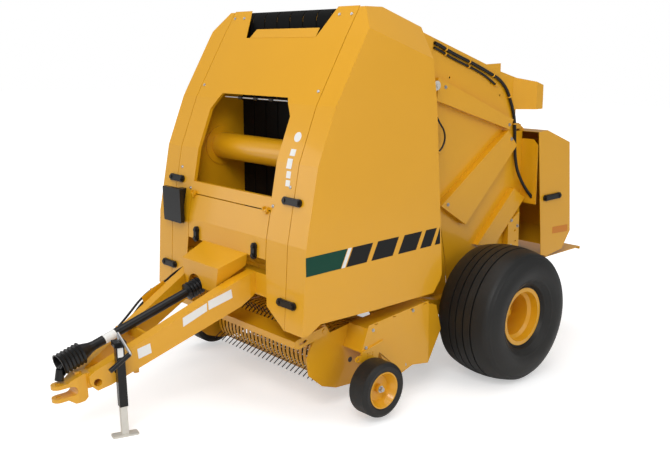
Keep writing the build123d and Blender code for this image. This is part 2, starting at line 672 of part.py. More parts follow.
# Front door: the lower centre sheet with the cover of the gearbox, hung from its top corners
with BuildPart() as front_door:
    front_sheet(-door_half, door_half, door_bottom_z, door_top_z, panel_sheet)
    sections = [(front_y(cover_top_z), cover_half, cover_half - 30, cover_top_z, cover_top_z - 110),
                (cover_front_y, cover_front_half, cover_front_half - 40, cover_front_top_z, cover_bottom_z)]
    for inset, mode in ((0.0, Mode.ADD), (panel_sheet, Mode.SUBTRACT)):
        faces = []
        for y, top_half, low_half, top_z, low_z in sections:
            y += inset if y == cover_front_y else 3 * inset
            with BuildSketch(Plane.XZ.offset(-y)) as section:
                with BuildLine():
                    Polyline((-top_half + inset, top_z - inset), (top_half - inset, top_z - inset),
                             (low_half - inset, low_z - 8 * inset), (-low_half + inset, low_z - 8 * inset),
                             close=True)
                make_face()
            faces.append(section.sketch)
        loft(faces, mode=mode)
    with BuildSketch(Plane.XZ.offset(-cover_front_y + 20)) as notch:
        with Locations((notch_x, notch_centre_z)):
            Circle(notch_radius)
        with Locations((notch_x, notch_centre_z - 60)):
            Rectangle(2 * notch_radius, 120)
    extrude(notch.sketch, amount=-60, mode=Mode.SUBTRACT)
    for x in door_hinge_x:
        rod((x - 10, *door_pin), (x + 10, *door_pin), door_pin_radius + 4)
        block((x - 10, x + 10), (door_pin[0] - 8, door_pin[0] + 14), (door_pin[1] - 24, door_pin[1] - 6))
        rod((x - 12, *door_pin), (x + 12, *door_pin), door_pin_radius + bearing_gap, mode=Mode.SUBTRACT)
keep("front_door", front_door.part)

# Side shields: side sheet, front strip and sloping shoulder, folded from one sheet
shoulder = Plane(origin=shoulder_point, z_dir=shoulder_normal)
shield_bend_z = [z for _, z in front_bends[1:] if z < shield_top_z - 2 * shield_sheet]
shield_edge = [(y, z) for y, z in shield_rear if z < shield_top_z - 100]
with BuildPart() as shield_inside:
    side_outline([(front_y(z, shield_sheet),
                   z) for z in [700.0] + shield_bend_z + [shield_top_z - shield_sheet]]
                 + [(-500, shield_top_z - shield_sheet), (-500, 700)], shield_seam_x - 20,
                 shield_x - shield_sheet)
    split(bisect_by=shoulder.offset(-shield_sheet), keep=Keep.BOTTOM)
with BuildPart() as side_shield:
    side_outline([(front_y(z), z) for z in [shield_low_z] + shield_bend_z + [shield_top_z]]
                 + [(-760, shield_top_z)] + shield_edge + list(shield_bottom), shield_seam_x, shield_x)
    split(bisect_by=shoulder, keep=Keep.BOTTOM)
    add(shield_inside.part, mode=Mode.SUBTRACT)
    for z in shield_hinge_z:
        low, high = z - 11.5, z + 10
        rod((shield_pin_x, shield_pin_y(low), low), (shield_pin_x, shield_pin_y(high), high),
            shield_pin_radius + 6)
        block((shield_pin_x + 8, shield_x - 2), (shield_pin_y(z) - 6, shield_pin_y(z) + 6), (low, high))
        rod((shield_pin_x, shield_pin_y(low - 9), low - 9), (shield_pin_x, shield_pin_y(high + 9), high + 9),
            shield_pin_radius + bearing_gap, mode=Mode.SUBTRACT)
both_sides("side_shield", side_shield.part)

# Cross tube behind the window, with a round flange plate at each end
with BuildPart() as window_tube:
    tube_end = chamber_half - tube_flange - fit_gap
    rod((-tube_end, *tube_centre), (tube_end, *tube_centre), tube_radius, tube_radius - 8)
    for side in (-1, 1):
        rod((side * (chamber_half - tube_flange), *tube_centre), (side * chamber_half, *tube_centre),
            tube_flange_radius)
keep("window_tube", window_tube.part)


def belts(centres, radius):
    """Flat belts side by side, all on one path round the rollers whose centres are given."""
    with BuildSketch(Plane.YZ) as outside:
        with Locations(*centres):
            Circle(radius + belt_thickness)
        make_hull()
    with BuildSketch(Plane.YZ) as inside:
        with Locations(*centres):
            Circle(radius)
        make_hull()
    first = -belt_pitch * (belt_count - 1) / 2 - belt_width / 2
    for path, mode in ((outside, Mode.ADD), (inside, Mode.SUBTRACT)):
        for index in range(belt_count):
            shift = Location((first + index * belt_pitch, 0, 0))
            extrude(path.sketch.moved(shift), amount=belt_width, mode=mode)


with BuildPart() as front_rollers:
    for centre in front_roller_centres:
        rod((-chamber_half, *centre), (chamber_half, *centre), roller_radius)
keep("front_rollers", front_rollers.part)

with BuildPart() as front_belts:
    belts(front_roller_centres, roller_radius + fit_gap)
keep("front_belts", front_belts.part)

# Starter drum under the belts, with ribs that run to and fro along it
with BuildPart() as starter_drum:
    rod((-chamber_half + 6, *drum_centre), (chamber_half - 6, *drum_centre), drum_radius)
    rod((-wall_outer - 12, *drum_centre), (wall_outer + 12, *drum_centre), drum_shaft_radius)
    run = 2 * (chamber_half - 20) / drum_rib_bends
    for index in range(drum_rib_count):
        places = []
        for bend in range(drum_rib_bends + 1):
            angle = radians(360 / drum_rib_count * index + drum_rib_sweep * (bend % 2))
            places.append(Vector(bend * run - chamber_half + 20, drum_centre[0] + drum_radius * cos(angle),
                                 drum_centre[1] + drum_radius * sin(angle)))
        for start, end in zip(places, places[1:]):
            with BuildSketch(Plane(origin=tuple(start), z_dir=end - start)) as rib:
                RegularPolygon(drum_rib_radius, 6)
            extrude(rib.sketch, amount=(end - start).length)
keep("starter_drum", starter_drum.part)

# Tongue: two box beams with rounded edges that meet at the nose, bolted to the cross member
with BuildPart() as tongue_frame:
    side_outline(beam_upper + beam_lower, 0, 420)
    with BuildSketch(Plane.XY) as plan:
        with BuildLine():
            Polyline(*beam_inner, (beam_outer[1][0], beam_inner[1][1]), beam_outer[1], beam_outer[0],
                     close=True)
        make_face()
    extrude(plan.sketch, amount=1300, mode=Mode.INTERSECT)
    mirror(about=Plane.YZ)
    block((-nose_half, nose_half), nose_y, nose_z)
    rod((-nose_half - 60, *nose_hole), (nose_half + 60, *nose_hole), nose_hole_radius, mode=Mode.SUBTRACT)
    side_outline(under_tab, under_tab_x[0], under_tab_x[1])
    block((-guard_rest_half, guard_rest_half), guard_rest_y, (700, guard_rest_z))
    rod(tuple(jack_pivot - jack_normal * 50), tuple(jack_pivot - jack_normal * jack_pin_end),
        jack_pin_radius)
    rod(tuple(jack_pivot - jack_normal * 50), tuple(jack_pivot - jack_normal * 38), jack_flange_radius)
    side_outline(holder_outline, holder_x[0], holder_x[1])
    block((holder_x[0], -240), (-2350, -2320), (850, 866))
    for y, z in holder_slots:
        block((holder_x[0] - 2, holder_x[1] + 2), (y - 20, y + 20), (z - 7, z + 7), mode=Mode.SUBTRACT)
    for route in tongue_hose_routes:
        clip(route, 4, tongue_hose_radius, holder_x[1] - route[4][0])
        clip(route, len(route) - 2, tongue_hose_radius, 72)
keep("tongue_frame", tongue_frame.part)

# Hoses along the right beam, held by the plate and by clips
with BuildPart() as tongue_hoses:
    for route in tongue_hose_routes:
        hose(route, tongue_hose_radius)
keep("tongue_hoses", tongue_hoses.part)

# Hitch: a cast clevis with an upper and a lower tang, one upright bore and a hexagon on top
with BuildPart() as hitch_clevis:
    tang_front = hitch_y - tang_half_width
    tang_top = hitch_z + tang_gap / 2 + tang_thickness
    tang_bottom = hitch_z - tang_gap / 2 - tang_thickness
    side_outline([(tang_front, tang_top), (head_slot_y - 30, tang_top), *head_top,
                  (head_back_y, head_top[-1][1]),
                  (head_back_y, head_bottom[0][1] + 20), *head_bottom, (head_slot_y - 30, tang_bottom),
                  (tang_front, tang_bottom)], -head_half, head_half)
    with BuildSketch(Plane.XY) as plan:
        with Locations((0, hitch_y)):
            Circle(tang_half_width)
        with BuildLine():
            Polyline((-tang_half_width, hitch_y), (tang_half_width, hitch_y),
                     (tang_half_width, head_slot_y - 10),
                     (head_half, head_top[0][0]), (head_half, head_back_y), (-head_half, head_back_y),
                     (-head_half, head_top[0][0]), (-tang_half_width, head_slot_y - 10), close=True)
        make_face()
    extrude(plan.sketch, amount=700, mode=Mode.INTERSECT)
    block((-head_half - 1, head_half + 1), (tang_front - 1, head_slot_y),
          (hitch_z - tang_gap / 2, hitch_z + tang_gap / 2), mode=Mode.SUBTRACT)
    rod((-head_half - 1, head_slot_y, hitch_z), (head_half + 1, head_slot_y, hitch_z), tang_gap / 2,
        mode=Mode.SUBTRACT)
    rod((0, hitch_y, tang_bottom - 1), (0, hitch_y, tang_top + 1), hitch_bore, mode=Mode.SUBTRACT)
    with BuildSketch(Plane.XY.offset(head_top[0][1] - 4)) as head_nut:
        with Locations((0, head_nut_y)):
            RegularPolygon(head_nut_radius, 6)
    extrude(head_nut.sketch, amount=head_nut_height)
keep("hitch_clevis", hitch_clevis.part)

# Gearbox, one plain block, with the stub of its input shaft
with BuildPart() as gearbox:
    block(gearbox_x, (gearbox_front_y, cross_y[0]), gearbox_z)
    rod((shaft_rear[0], gearbox_front_y, shaft_rear[2]), shaft_rear, stub_radius)
keep("gearbox", gearbox.part)

# Driveline: guard tube with a ribbed boot at each end, and the yoke that hangs from the front one
shaft_run = Vector(*shaft_front) - Vector(*shaft_rear)
shaft_along = shaft_run.normalized()
with BuildPart() as driveline_guard:
    rear_boot = [(guard_start, 0), (guard_start, rear_boot_radius)]
    for fold in range(rear_boot_folds):
        rear_boot.append((guard_start + (fold + 0.5) * boot_pitch, rear_boot_radius - boot_fold))
        rear_boot.append((guard_start + (fold + 1) * boot_pitch, rear_boot_radius))
    rear_boot_end = rear_boot[-1][0]
    front_boot = [(shaft_run.length + neck_length, guard_radius + 5),
                  (shaft_run.length + boot_start, boot_radius - 14)]
    for fold in range(front_boot_folds):
        front_boot.append((shaft_run.length + boot_start + fold * boot_pitch, boot_radius))
        front_boot.append((shaft_run.length + boot_start + (fold + 0.5) * boot_pitch,
                           boot_radius - boot_fold))
    boot_end = shaft_run.length + boot_start + front_boot_folds * boot_pitch
    front_boot += [(boot_end, boot_radius), (boot_end, boot_radius - 8),
                   (boot_end - boot_cup, boot_radius - 20),
                   (boot_end - boot_cup, 0)]
    bellows(Vector(*shaft_rear), shaft_along,
            rear_boot + [(rear_boot_end + 14, guard_radius),
                         (shaft_run.length + neck_length - 30, guard_radius)]
            + front_boot)
    rod(tuple(Vector(*shaft_rear) + shaft_along * (boot_end - boot_cup - 10)), yoke_tube[0],
        yoke_stub_radius)
    rod(yoke_tube[0], yoke_tube[1], yoke_radius)
keep("driveline_guard", driveline_guard.part)

# Jack on the left beam: swivelling outer tube, sliding leg with its foot, crank
jack_plane = Plane(origin=(jack_x, jack_y, 0), x_dir=tuple(jack_normal), z_dir=(0, 0, 1))
with BuildPart() as jack_tube:
    with BuildSketch(jack_plane.offset(jack_tube_bottom_z)) as section:
        Rectangle(2 * jack_tube_half, 2 * jack_tube_half)
        Rectangle(2 * (jack_tube_half - jack_wall), 2 * (jack_tube_half - jack_wall), mode=Mode.SUBTRACT)
    extrude(section.sketch, amount=jack_top_z - jack_tube_bottom_z)
    with BuildSketch(jack_plane.offset(jack_top_z - jack_cap[2])) as cap:
        Rectangle(jack_cap[0], jack_cap[1])
        Rectangle(2 * jack_tube_half - 1, 2 * jack_tube_half - 1, mode=Mode.SUBTRACT)
    extrude(cap.sketch, amount=jack_cap[2] + 10)
    with BuildSketch(jack_plane.offset(jack_top_z)) as lid:
        Rectangle(jack_cap[0], jack_cap[1])
    extrude(lid.sketch, amount=10)
    rod(tuple(jack_pivot - jack_normal * 36), tuple(jack_pivot - jack_normal * 26), jack_pin_radius + 13)
    rod(tuple(jack_pivot - jack_normal * 37), tuple(jack_pivot - jack_normal * 20),
        jack_pin_radius + bearing_gap,
        mode=Mode.SUBTRACT)
keep("jack_tube", jack_tube.part)

with BuildPart() as jack_leg:
    leg_bottom = floor_z(jack_y)
    with BuildSketch(jack_plane.offset(leg_bottom + 8)) as section:
        Rectangle(2 * jack_leg_half, 2 * jack_leg_half)
        Rectangle(2 * (jack_leg_half - 4), 2 * (jack_leg_half - 4), mode=Mode.SUBTRACT)
    extrude(section.sketch, amount=jack_leg_top_z - leg_bottom - 8)
    floor_normal = (0, sin(slope), cos(slope))
    foot_across = (jack_normal.X, jack_normal.Y, -jack_normal.Y * tan(slope))
    with BuildSketch(Plane(origin=(jack_x, jack_y, leg_bottom), x_dir=foot_across,
                           z_dir=floor_normal)) as foot:
        RectangleRounded(jack_foot[0], jack_foot[1], jack_foot_corner)
    extrude(foot.sketch, amount=jack_foot[2])
keep("jack_leg", jack_leg.part)

with BuildPart() as jack_crank:
    crank_points = ((jack_x, jack_y, jack_top_z + 10), (jack_x, jack_y, crank_top_z),
                    (crank_elbow[0], jack_y, crank_elbow[1]))
    for start, end in zip(crank_points, crank_points[1:]):
        rod(start, end, crank_radius)
        with Locations(end):
            Sphere(crank_radius)
    rod(crank_points[-1], (crank_elbow[0], *crank_grip_end), grip_radius)
keep("jack_crank", jack_crank.part)

# Pickup: side sheets with a back sheet and a cross tube, guard of the chain, arms of the gauge wheels
pickup_inner = pickup_half - pickup_sheet
with BuildPart() as pickup_frame:
    for side in (-1, 1):
        side_outline(pickup_outline, side * pickup_inner, side * pickup_half)
        rod((side * pickup_inner, *pickup_pivot), (side * (rail_x[1] + 6), *pickup_pivot), 30)
        rod((side * (pickup_half + 1), *pickup_pivot), (side * (rail_x[1] + 5), *pickup_pivot),
            pin_radius + bearing_gap, mode=Mode.SUBTRACT)
        rod((side * pickup_inner, *windguard_pivot), (side * (windguard_half + 6), *windguard_pivot),
            pin_radius)
        rod((side * (pickup_inner - 2), *reel_centre), (side * (pickup_half + 2), *reel_centre),
            reel_shaft_radius + bearing_gap, mode=Mode.SUBTRACT)
    block((-pickup_inner, pickup_inner), (back_sheet_y, back_sheet_y + 4), back_sheet_z)
    rod((-pickup_inner, *back_tube), (pickup_inner, *back_tube), back_tube_radius)
keep("pickup_frame", pickup_frame.part)

with BuildPart() as stripper_bands:
    band_middle = ((reel_centre[0] + back_sheet_y) / 2, reel_centre[1])
    with BuildSketch(Plane.YZ) as band:
        for size, mode in ((band_radius, Mode.ADD), (band_radius - band_sheet, Mode.SUBTRACT)):
            with Locations(reel_centre):
                Circle(size, mode=mode)
            with Locations(band_middle):
                Rectangle(back_sheet_y - reel_centre[0], 2 * size, mode=mode)
    for index in range(tine_count - 1):
        middle = (index - (tine_count - 2) / 2) * tine_pitch
        extrude(band.sketch.moved(Location((middle - band_width / 2, 0, 0))), amount=band_width)
keep("stripper_bands", stripper_bands.part)

with BuildPart() as pickup_reel:
    rod((-pickup_half, *reel_centre), (pickup_half, *reel_centre), reel_shaft_radius)
    for side in (-1, 1):
        rod((side * (reel_half - reel_disc), *reel_centre), (side * reel_half, *reel_centre),
            reel_bar_radius + 25)
    for bar_index in range(reel_bar_count):
        angle = 2 * pi * (bar_index + reel_bar_turn) / reel_bar_count
        out = Vector(0, cos(angle), sin(angle))
        root = Vector(0, *reel_centre) + out * reel_bar_radius
        rod((-reel_half + reel_disc, root.Y, root.Z), (reel_half - reel_disc, root.Y, root.Z), reel_bar_tube)
        with BuildSketch(Plane(origin=tuple(root), x_dir=(1, 0, 0), z_dir=tuple(out))) as tines:
            with GridLocations(tine_pitch, 0, tine_count, 1):
                RegularPolygon(tine_radius, 6)
        extrude(tines.sketch, amount=reel_tip_radius - reel_bar_radius)
keep("pickup_reel", pickup_reel.part)

# Guard of the chain: a tray whose rear third folds inwards, with a slotted flange along its top
guard_front_y = min(y for y, _ in guard_outline) - 5
guard_back_y = max(y for y, _ in guard_outline) + 5
with BuildPart() as chain_guards:
    for sheet, mode in ((0.0, Mode.ADD), (guard_sheet, Mode.SUBTRACT)):
        with BuildPart(mode=mode):
            with BuildSketch(Plane.YZ.offset(pickup_half)) as face:
                with BuildLine():
                    Polyline(*guard_outline, close=True)
                make_face()
                if sheet:
                    offset(amount=-sheet, kind=Kind.INTERSECTION, mode=Mode.REPLACE)
            extrude(face.sketch, amount=guard_face_x - pickup_half)
            with BuildSketch(Plane.XY) as plan:
                with BuildLine():
                    Polyline((pickup_half - 1, guard_front_y), (guard_face_x - sheet, guard_front_y),
                             (guard_face_x - sheet, guard_fold[0]),
                             (guard_face_x - guard_fold[1] - sheet, guard_back_y),
                             (pickup_half - 1, guard_back_y),
                             close=True)
                make_face()
            extrude(plan.sketch, amount=900, mode=Mode.INTERSECT)
    side_outline(guard_flange, guard_face_x - guard_sheet, guard_face_x)
    for y, z in guard_slots:
        block((guard_face_x - 10, guard_face_x + 2), (y - 16, y + 16), (z - 4, z + 4), mode=Mode.SUBTRACT)
    mirror(about=Plane.YZ)
keep("chain_guards", chain_guards.part)

with BuildPart() as gauge_arms:
    side_outline(arm_outline, arm_x[0], arm_x[1])
    side_outline(arm_loop, arm_x[0], arm_x[1])
    rod((arm_x[0] - 1, *arm_loop_hole), (arm_x[1] + 1, *arm_loop_hole), arm_loop_radius, mode=Mode.SUBTRACT)
    with BuildSketch(Plane.YZ.offset(arm_x[0] - 1)) as holes:
        with Locations(arm_holes):
            with GridLocations(arm_hole_pitch, arm_hole_pitch, 3, 2):
                Circle(arm_hole_radius)
    extrude(holes.sketch, amount=arm_x[1] - arm_x[0] + 2, mode=Mode.SUBTRACT)
    rod((arm_x[1], gauge_y, gauge_z), (gauge_x + 44, gauge_y, gauge_z), gauge_spindle_radius)
    mirror(about=Plane.YZ)
keep("gauge_arms", gauge_arms.part)

# Windguard in front of the pickup: a bent sheet on gussets, between two end plates with a slot
with BuildPart() as windguard:
    front, low, high = windguard_front
    back_y, back_z = windguard_back
    side_outline([(front, low), (front, high), (back_y, back_z), (back_y, back_z - windguard_sheet),
                  (front + windguard_sheet, high - windguard_sheet), (front + windguard_sheet, low)],
                 -windguard_half, windguard_half)
    spread = 2 * (windguard_half - 60) / (windguard_brackets - 1)
    for index in range(windguard_brackets):
        x = index * spread - windguard_half + 60
        side_outline([(front + 2, low + 4), (front + 2, high - 2), (back_y - 10, back_z - 4),
                      (back_y - 10, back_z - 22)],
                     x - windguard_end_sheet / 2, x + windguard_end_sheet / 2)
    for side in (-1, 1):
        with BuildSketch(Plane.YZ.offset(side * (windguard_half - windguard_end_sheet))) as end_plate:
            for centre, radius in windguard_end:
                with Locations(centre):
                    Circle(radius)
            make_hull()
            with Locations(windguard_pivot):
                Circle(pin_radius + bearing_gap, mode=Mode.SUBTRACT)
        extrude(end_plate.sketch, amount=side * windguard_end_sheet)
        with BuildSketch(Plane.YZ.offset(side * (windguard_half - windguard_end_sheet - 1))) as slot:
            with Locations(*windguard_slot):
                Circle(windguard_slot_radius)
            make_hull()
        extrude(slot.sketch, amount=side * (windguard_end_sheet + 2), mode=Mode.SUBTRACT)
keep("windguard", windguard.part)

# Tailgate: side walls with a back sheet, wings for the net bay, box ribs, rollers and belts
with BuildPart() as tailgate_walls:
    for side in (-1, 1):
        side_outline([tail_top, tail_hip, (tail_back_y, 2300), (tail_back_y, tail_foot_z[1]),
                      (tail_foot_y, tail_foot_z[1]), (tail_foot_y, tail_foot_z[0]),
                      (tail_back_y, tail_foot_z[0]),
                      *tail_toe, *tail_front_edge],
                     side * chamber_half, side * wall_outer)
        side_outline(tail_tab, side * chamber_half, side * wall_outer)
        for y, z in tail_holes:
            rod((side * (chamber_half - 1), y, z), (side * (wall_outer + 1), y, z), tail_hole_radius,
                mode=Mode.SUBTRACT)
        with BuildSketch(Plane.XZ.offset(-tail_foot_y)) as wing:
            with BuildLine():
                Polyline((side * (chamber_half - 10), wing_z[0]), (side * net_side_x, wing_z[0]),
                         (side * net_side_x, wing_z[1] - wing_corner),
                         (side * (net_side_x - wing_corner), wing_z[1]),
                         (side * (chamber_half - 10), wing_z[1]), close=True)
            make_face()
        extrude(wing.sketch, amount=-tail_wing_sheet)
    block((-chamber_half, chamber_half), (tail_back_y - tail_sheet, tail_back_y), (880, 2300))
    for low, high in tail_cross_z:
        block((-wall_outer, wall_outer), (tail_foot_y, tail_foot_y + tail_wing_sheet), (low, high))
    for x in net_lug_x:
        rod((x - 40, *net_pivot), (x + 40, *net_pivot), net_pin_radius)
        for edge in (-40, 32):
            side_outline(net_lug, x + edge, x + edge + 8)
    for side in (-1, 1):
        side_outline(lug_foot, side * wall_outer, side * lug_x[0])
        with BuildSketch(Plane.YZ.offset(side * lug_x[0])) as lug:
            with Locations(tail_pivot):
                Circle(40)
            with BuildLine():
                Polyline(*lug_outline, close=True)
            make_face()
            with Locations(tail_pivot):
                Circle(pin_radius + bearing_gap, mode=Mode.SUBTRACT)
        extrude(lug.sketch, amount=side * (lug_x[1] - lug_x[0]))
        rod((side * wall_outer, *cylinder_eye), (side * (cylinder_x - 26), *cylinder_eye), eye_radius)
    for run in bundle_clips:
        clip(bundle_route, run, bundle_radius)
    for run in branch_clips:
        clip(branch_route, run, branch_radius)
    grommet = Vector(*bundle_route[-1]) - Vector(*bundle_route[-2])
    rod(tuple(Vector(*bundle_route[-1]) - grommet), tuple(Vector(*bundle_route[-1]) + grommet),
        bundle_radius + 4,
        mode=Mode.SUBTRACT)
    for route, radius in ((branch_route, branch_radius), (link_route, link_radius),
                          (link_route[::-1], link_radius)):
        onward = (Vector(*route[-1]) - Vector(*route[-2])).normalized()
        fitting = Vector(*route[-1]) + onward * gland_length
        rod(route[-1], tuple(fitting), gland_radius)
        rod((wall_outer, fitting.Y, fitting.Z), (fitting.X + radius, fitting.Y, fitting.Z), gland_length - 2)
keep("tailgate_walls", tailgate_walls.part)

# Hoses of the tailgate, held by clips on its left wall
with BuildPart() as tailgate_hoses:
    hose(bundle_route, bundle_radius)
    hose(branch_route, branch_radius)
    hose(link_route, link_radius)
keep("tailgate_hoses", tailgate_hoses.part)

with BuildPart() as tailgate_ribs:
    for outline in rib_outlines:
        side_outline(outline, wall_outer, rib_x)
    for y, z in rib_holes:
        rod((rib_x - rib_hole_depth, y, z), (rib_x + 1, y, z), tail_hole_radius, mode=Mode.SUBTRACT)
    mirror(about=Plane.YZ)
keep("tailgate_ribs", tailgate_ribs.part)

with BuildPart() as tailgate_rollers:
    for centre in tail_roller_centres:
        rod((-chamber_half, *centre), (chamber_half, *centre), roller_radius)
keep("tailgate_rollers", tailgate_rollers.part)

with BuildPart() as tailgate_belts:
    belts(tail_roller_centres, roller_radius + fit_gap)
keep("tailgate_belts", tailgate_belts.part)

# Hood over the net bay: it flares out from the walls, closed at the rear and open below
with BuildPart() as tailgate_hood:
    for sheet, mode in ((0.0, Mode.ADD), (hood_sheet, Mode.SUBTRACT)):
        with BuildPart(mode=mode):
            top = [(y, hood_rear_z + (hood_rear_y - y) * hood_slope - sheet) for y in (hood_flare_y,
                                                                                       hood_rear_y)]
            side_outline(top + [(hood_rear_y, hood_low_z - 10 * sheet),
                                (hood_flare_y, hood_low_z - 10 * sheet)],
                         -hood_half, hood_half)
            with BuildSketch(Plane.XY) as plan:
                with BuildLine():
                    flare = wall_outer + fit_gap
                    inner_y = tail_back_y + fit_gap
                    Polyline((-flare, hood_flare_y), (-flare, inner_y), (flare, inner_y),
                             (flare, hood_flare_y),
                             (hood_half, hood_wide_y), (hood_half, hood_rear_y), (-hood_half, hood_rear_y),
                             (-hood_half, hood_wide_y), close=True)
                make_face()
                if sheet:
                    offset(amount=-sheet, kind=Kind.INTERSECTION, mode=Mode.REPLACE)
            extrude(plan.sketch, amount=2500, mode=Mode.INTERSECT)
keep("tailgate_hood", tailgate_hood.part)

with BuildPart() as bale_ramp:
    side_outline([(622, 790), (722, ramp_z), (ramp_tip_y, ramp_z), (ramp_tip_y, ramp_z - 25),
                  (ramp_tip_y - 12, ramp_z - 25), (ramp_tip_y - 12, ramp_z - ramp_sheet),
                  (720, ramp_z - ramp_sheet),
                  (622, 783)], -ramp_half, ramp_half)
keep("bale_ramp", bale_ramp.part)

with BuildPart() as net_cover:
    side_outline(net_outline, -net_side_x, net_side_x)
    side_outline(net_inside, -net_side_x + cover_sheet, net_side_x - cover_sheet, mode=Mode.SUBTRACT)
    for x in net_lug_x:
        side_outline(net_hinge, x - 15, x + 15)
        rod((x - 16, *net_pivot), (x + 16, *net_pivot), net_pin_radius + bearing_gap, mode=Mode.SUBTRACT)
keep("net_cover", net_cover.part)

# Cylinders of the tailgate
with BuildPart() as cylinder_barrel:
    base = Vector(cylinder_x, *cylinder_base)
    along = (Vector(cylinder_x, *cylinder_eye) - base).normalized()
    eye_reach = Vector(eye_half, 0, 0)
    rod(tuple(base - eye_reach), tuple(base + eye_reach), eye_radius)
    rod(tuple(base + along * 20), tuple(base + along * barrel_end), barrel_radius)
    rod(tuple(base + along * 60), tuple(base + along * (barrel_end + 1)), rod_radius + bearing_gap,
        mode=Mode.SUBTRACT)
    rod(tuple(base - eye_reach * 2), tuple(base + eye_reach * 2), pin_radius + bearing_gap,
        mode=Mode.SUBTRACT)
both_sides("cylinder_barrel", cylinder_barrel.part)

with BuildPart() as cylinder_rod:
    eye = Vector(cylinder_x, *cylinder_eye)
    rod(tuple(base + along * rod_start), tuple(eye - along * 20), rod_radius)
    rod(tuple(eye - eye_reach), tuple(eye + eye_reach), eye_radius)
    rod(tuple(eye), tuple(eye + eye_reach + Vector(10, 0, 0)), pin_radius)
both_sides("cylinder_rod", cylinder_rod.part)

# Tool case with rounded edges, on its bracket at the right side of the front
with BuildPart() as tool_case:
    block(tool_x, tool_y, tool_z)
    fillet(tool_case.edges().filter_by(Axis.Y), radius=tool_corner)
    side_outline([(tool_y[1], tool_z[0])] + [(front_y(z, -fit_gap), z) for z in tool_bracket_z]
                 + [(tool_y[1], tool_bracket_z[-1])], -wall_outer - 19, -wall_outer + 41)
keep("tool_case", tool_case.part)

# The machine is set down nose low, its middle over the origin
axle_line = Axis((0, 0, tyre_radius), (1, 0, 0))
parked = {name: part.rotate(axle_line, nose_down) for name, part in pieces.items()}
boxes = [part.bounding_box() for part in parked.values()]
middle = (min(box.min.Y for box in boxes) + max(box.max.Y for box in boxes)) / 2
os.makedirs("parts", exist_ok=True)
for name, part in parked.items():
    placed = part.moved(Location((0, -middle, 0)))
    placed.label = name
    export_step(placed, f"parts/{name}.step")
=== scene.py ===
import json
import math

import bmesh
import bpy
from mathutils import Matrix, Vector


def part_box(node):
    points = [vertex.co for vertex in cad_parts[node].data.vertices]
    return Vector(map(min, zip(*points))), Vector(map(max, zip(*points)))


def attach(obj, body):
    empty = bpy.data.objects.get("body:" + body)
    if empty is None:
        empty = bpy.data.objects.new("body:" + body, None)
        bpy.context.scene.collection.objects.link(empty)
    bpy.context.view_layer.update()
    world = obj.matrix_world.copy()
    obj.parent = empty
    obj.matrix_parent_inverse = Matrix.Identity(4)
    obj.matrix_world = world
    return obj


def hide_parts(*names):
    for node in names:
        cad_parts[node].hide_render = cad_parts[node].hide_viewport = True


bl_info = {
    "name": "Round baler finish",
    "version": (1, 0, 0),
    "blender": (4, 5, 0),
    "location": "View3D > Sidebar > Baler",
    "description": "Paint, rubber, fasteners and small fittings for a towed round baler",
    "category": "Object",
}

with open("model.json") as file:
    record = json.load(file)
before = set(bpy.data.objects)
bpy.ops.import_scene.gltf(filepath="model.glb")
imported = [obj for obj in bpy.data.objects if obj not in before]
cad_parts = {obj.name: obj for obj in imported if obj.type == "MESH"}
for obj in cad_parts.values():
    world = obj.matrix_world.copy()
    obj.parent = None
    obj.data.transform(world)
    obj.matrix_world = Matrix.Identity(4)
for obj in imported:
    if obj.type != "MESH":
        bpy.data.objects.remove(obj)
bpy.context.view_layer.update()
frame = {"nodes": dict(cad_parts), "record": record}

# The machine stands nose down on its jack. Every place below is given as on the level machine,
# in millimetres, with the axle over y = 0 and the floor under the wheels at z = 0.
NOSE_DOWN = math.radians(3.0)
AXLE_Z = 0.525
tyre_low, tyre_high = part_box("main_tyre_left")
AXLE_Y = (tyre_low[1] + tyre_high[1]) / 2
PARK = (Matrix.Translation((0, AXLE_Y, AXLE_Z)) @ Matrix.Rotation(NOSE_DOWN, 4, "X")
        @ Matrix.Translation((0, 0, -AXLE_Z)) @ Matrix.Scale(0.001, 4))
CAMERA_PLACE = (4.81623, -4.37787, 2.35967)
CAMERA_TURN = (79.45825, -1.54718, 48.13545)
CAMERA_LENS = 45.0
CAMERA_SENSOR = 36

# Front sheet's bends as (y, z), and the step up and down from a height that gives its slope there
FRONT_BENDS = ((-1950, 765), (-1905, 1340), (-1795, 1850), (-1640, 2215), (-1375, 2650), (-1248, 2845))
PANEL_PROBE = 20

# Outer face of a shield, half the track, thickness of a film and its lift off the sheet
SHIELD_X = 889
HALF_TRACK = 989
SHEET_SKIN = 0.6
FILM_LIFT = 0.3

# Times the sum of two places in metres, it gives their middle in millimetres
HALF_METRE = 500
SIDES = ((1, "left"), (-1, "right"))

# Outer face of the left beam of the tongue: where it starts, how it slants, and its direction
BEAM_START = (78, -3100)
BEAM_SLOPE = (262, 1150)
BEAM_RUN = Vector((*BEAM_SLOPE, 0)).normalized()

# Bars of the stripe on a shield, as (lower front, lower rear, upper rear, upper front) along the side
STRIPE_BARS = ((-1567, -1379, -1318, -1502), (-1335, -1129, -1067, -1270), (-1075, -893, -830, -1010),
               (-850, -735, -672, -787), (-694, -634, -637, -637))
STRIPE_BLOCK = (-1910, -1614, -1551, -1910)
STRIPE_SLASH = (-1608, -1577, -1514, -1545)

# Blank plates of the front strip: x and height of the middle, width, height; disc: x, height, radius
STRIP_PLATES = ((609, 1916, 52, 46), (607, 1846, 52, 66), (613, 1776, 44, 46), (617, 1722, 44, 40))
STRIP_DISC = (612, 2013, 34)
DISC_STEPS = 24

# Blank plates on the left beam: corners along the side, as (y, z)
BEAM_PLATES = (((-2425, 791), (-2259, 872), (-2259, 928), (-2425, 853)),
               ((-2247, 877), (-2079, 934), (-2086, 995), (-2250, 938)),
               ((-2725, 630), (-2640, 655), (-2646, 722), (-2730, 698)))

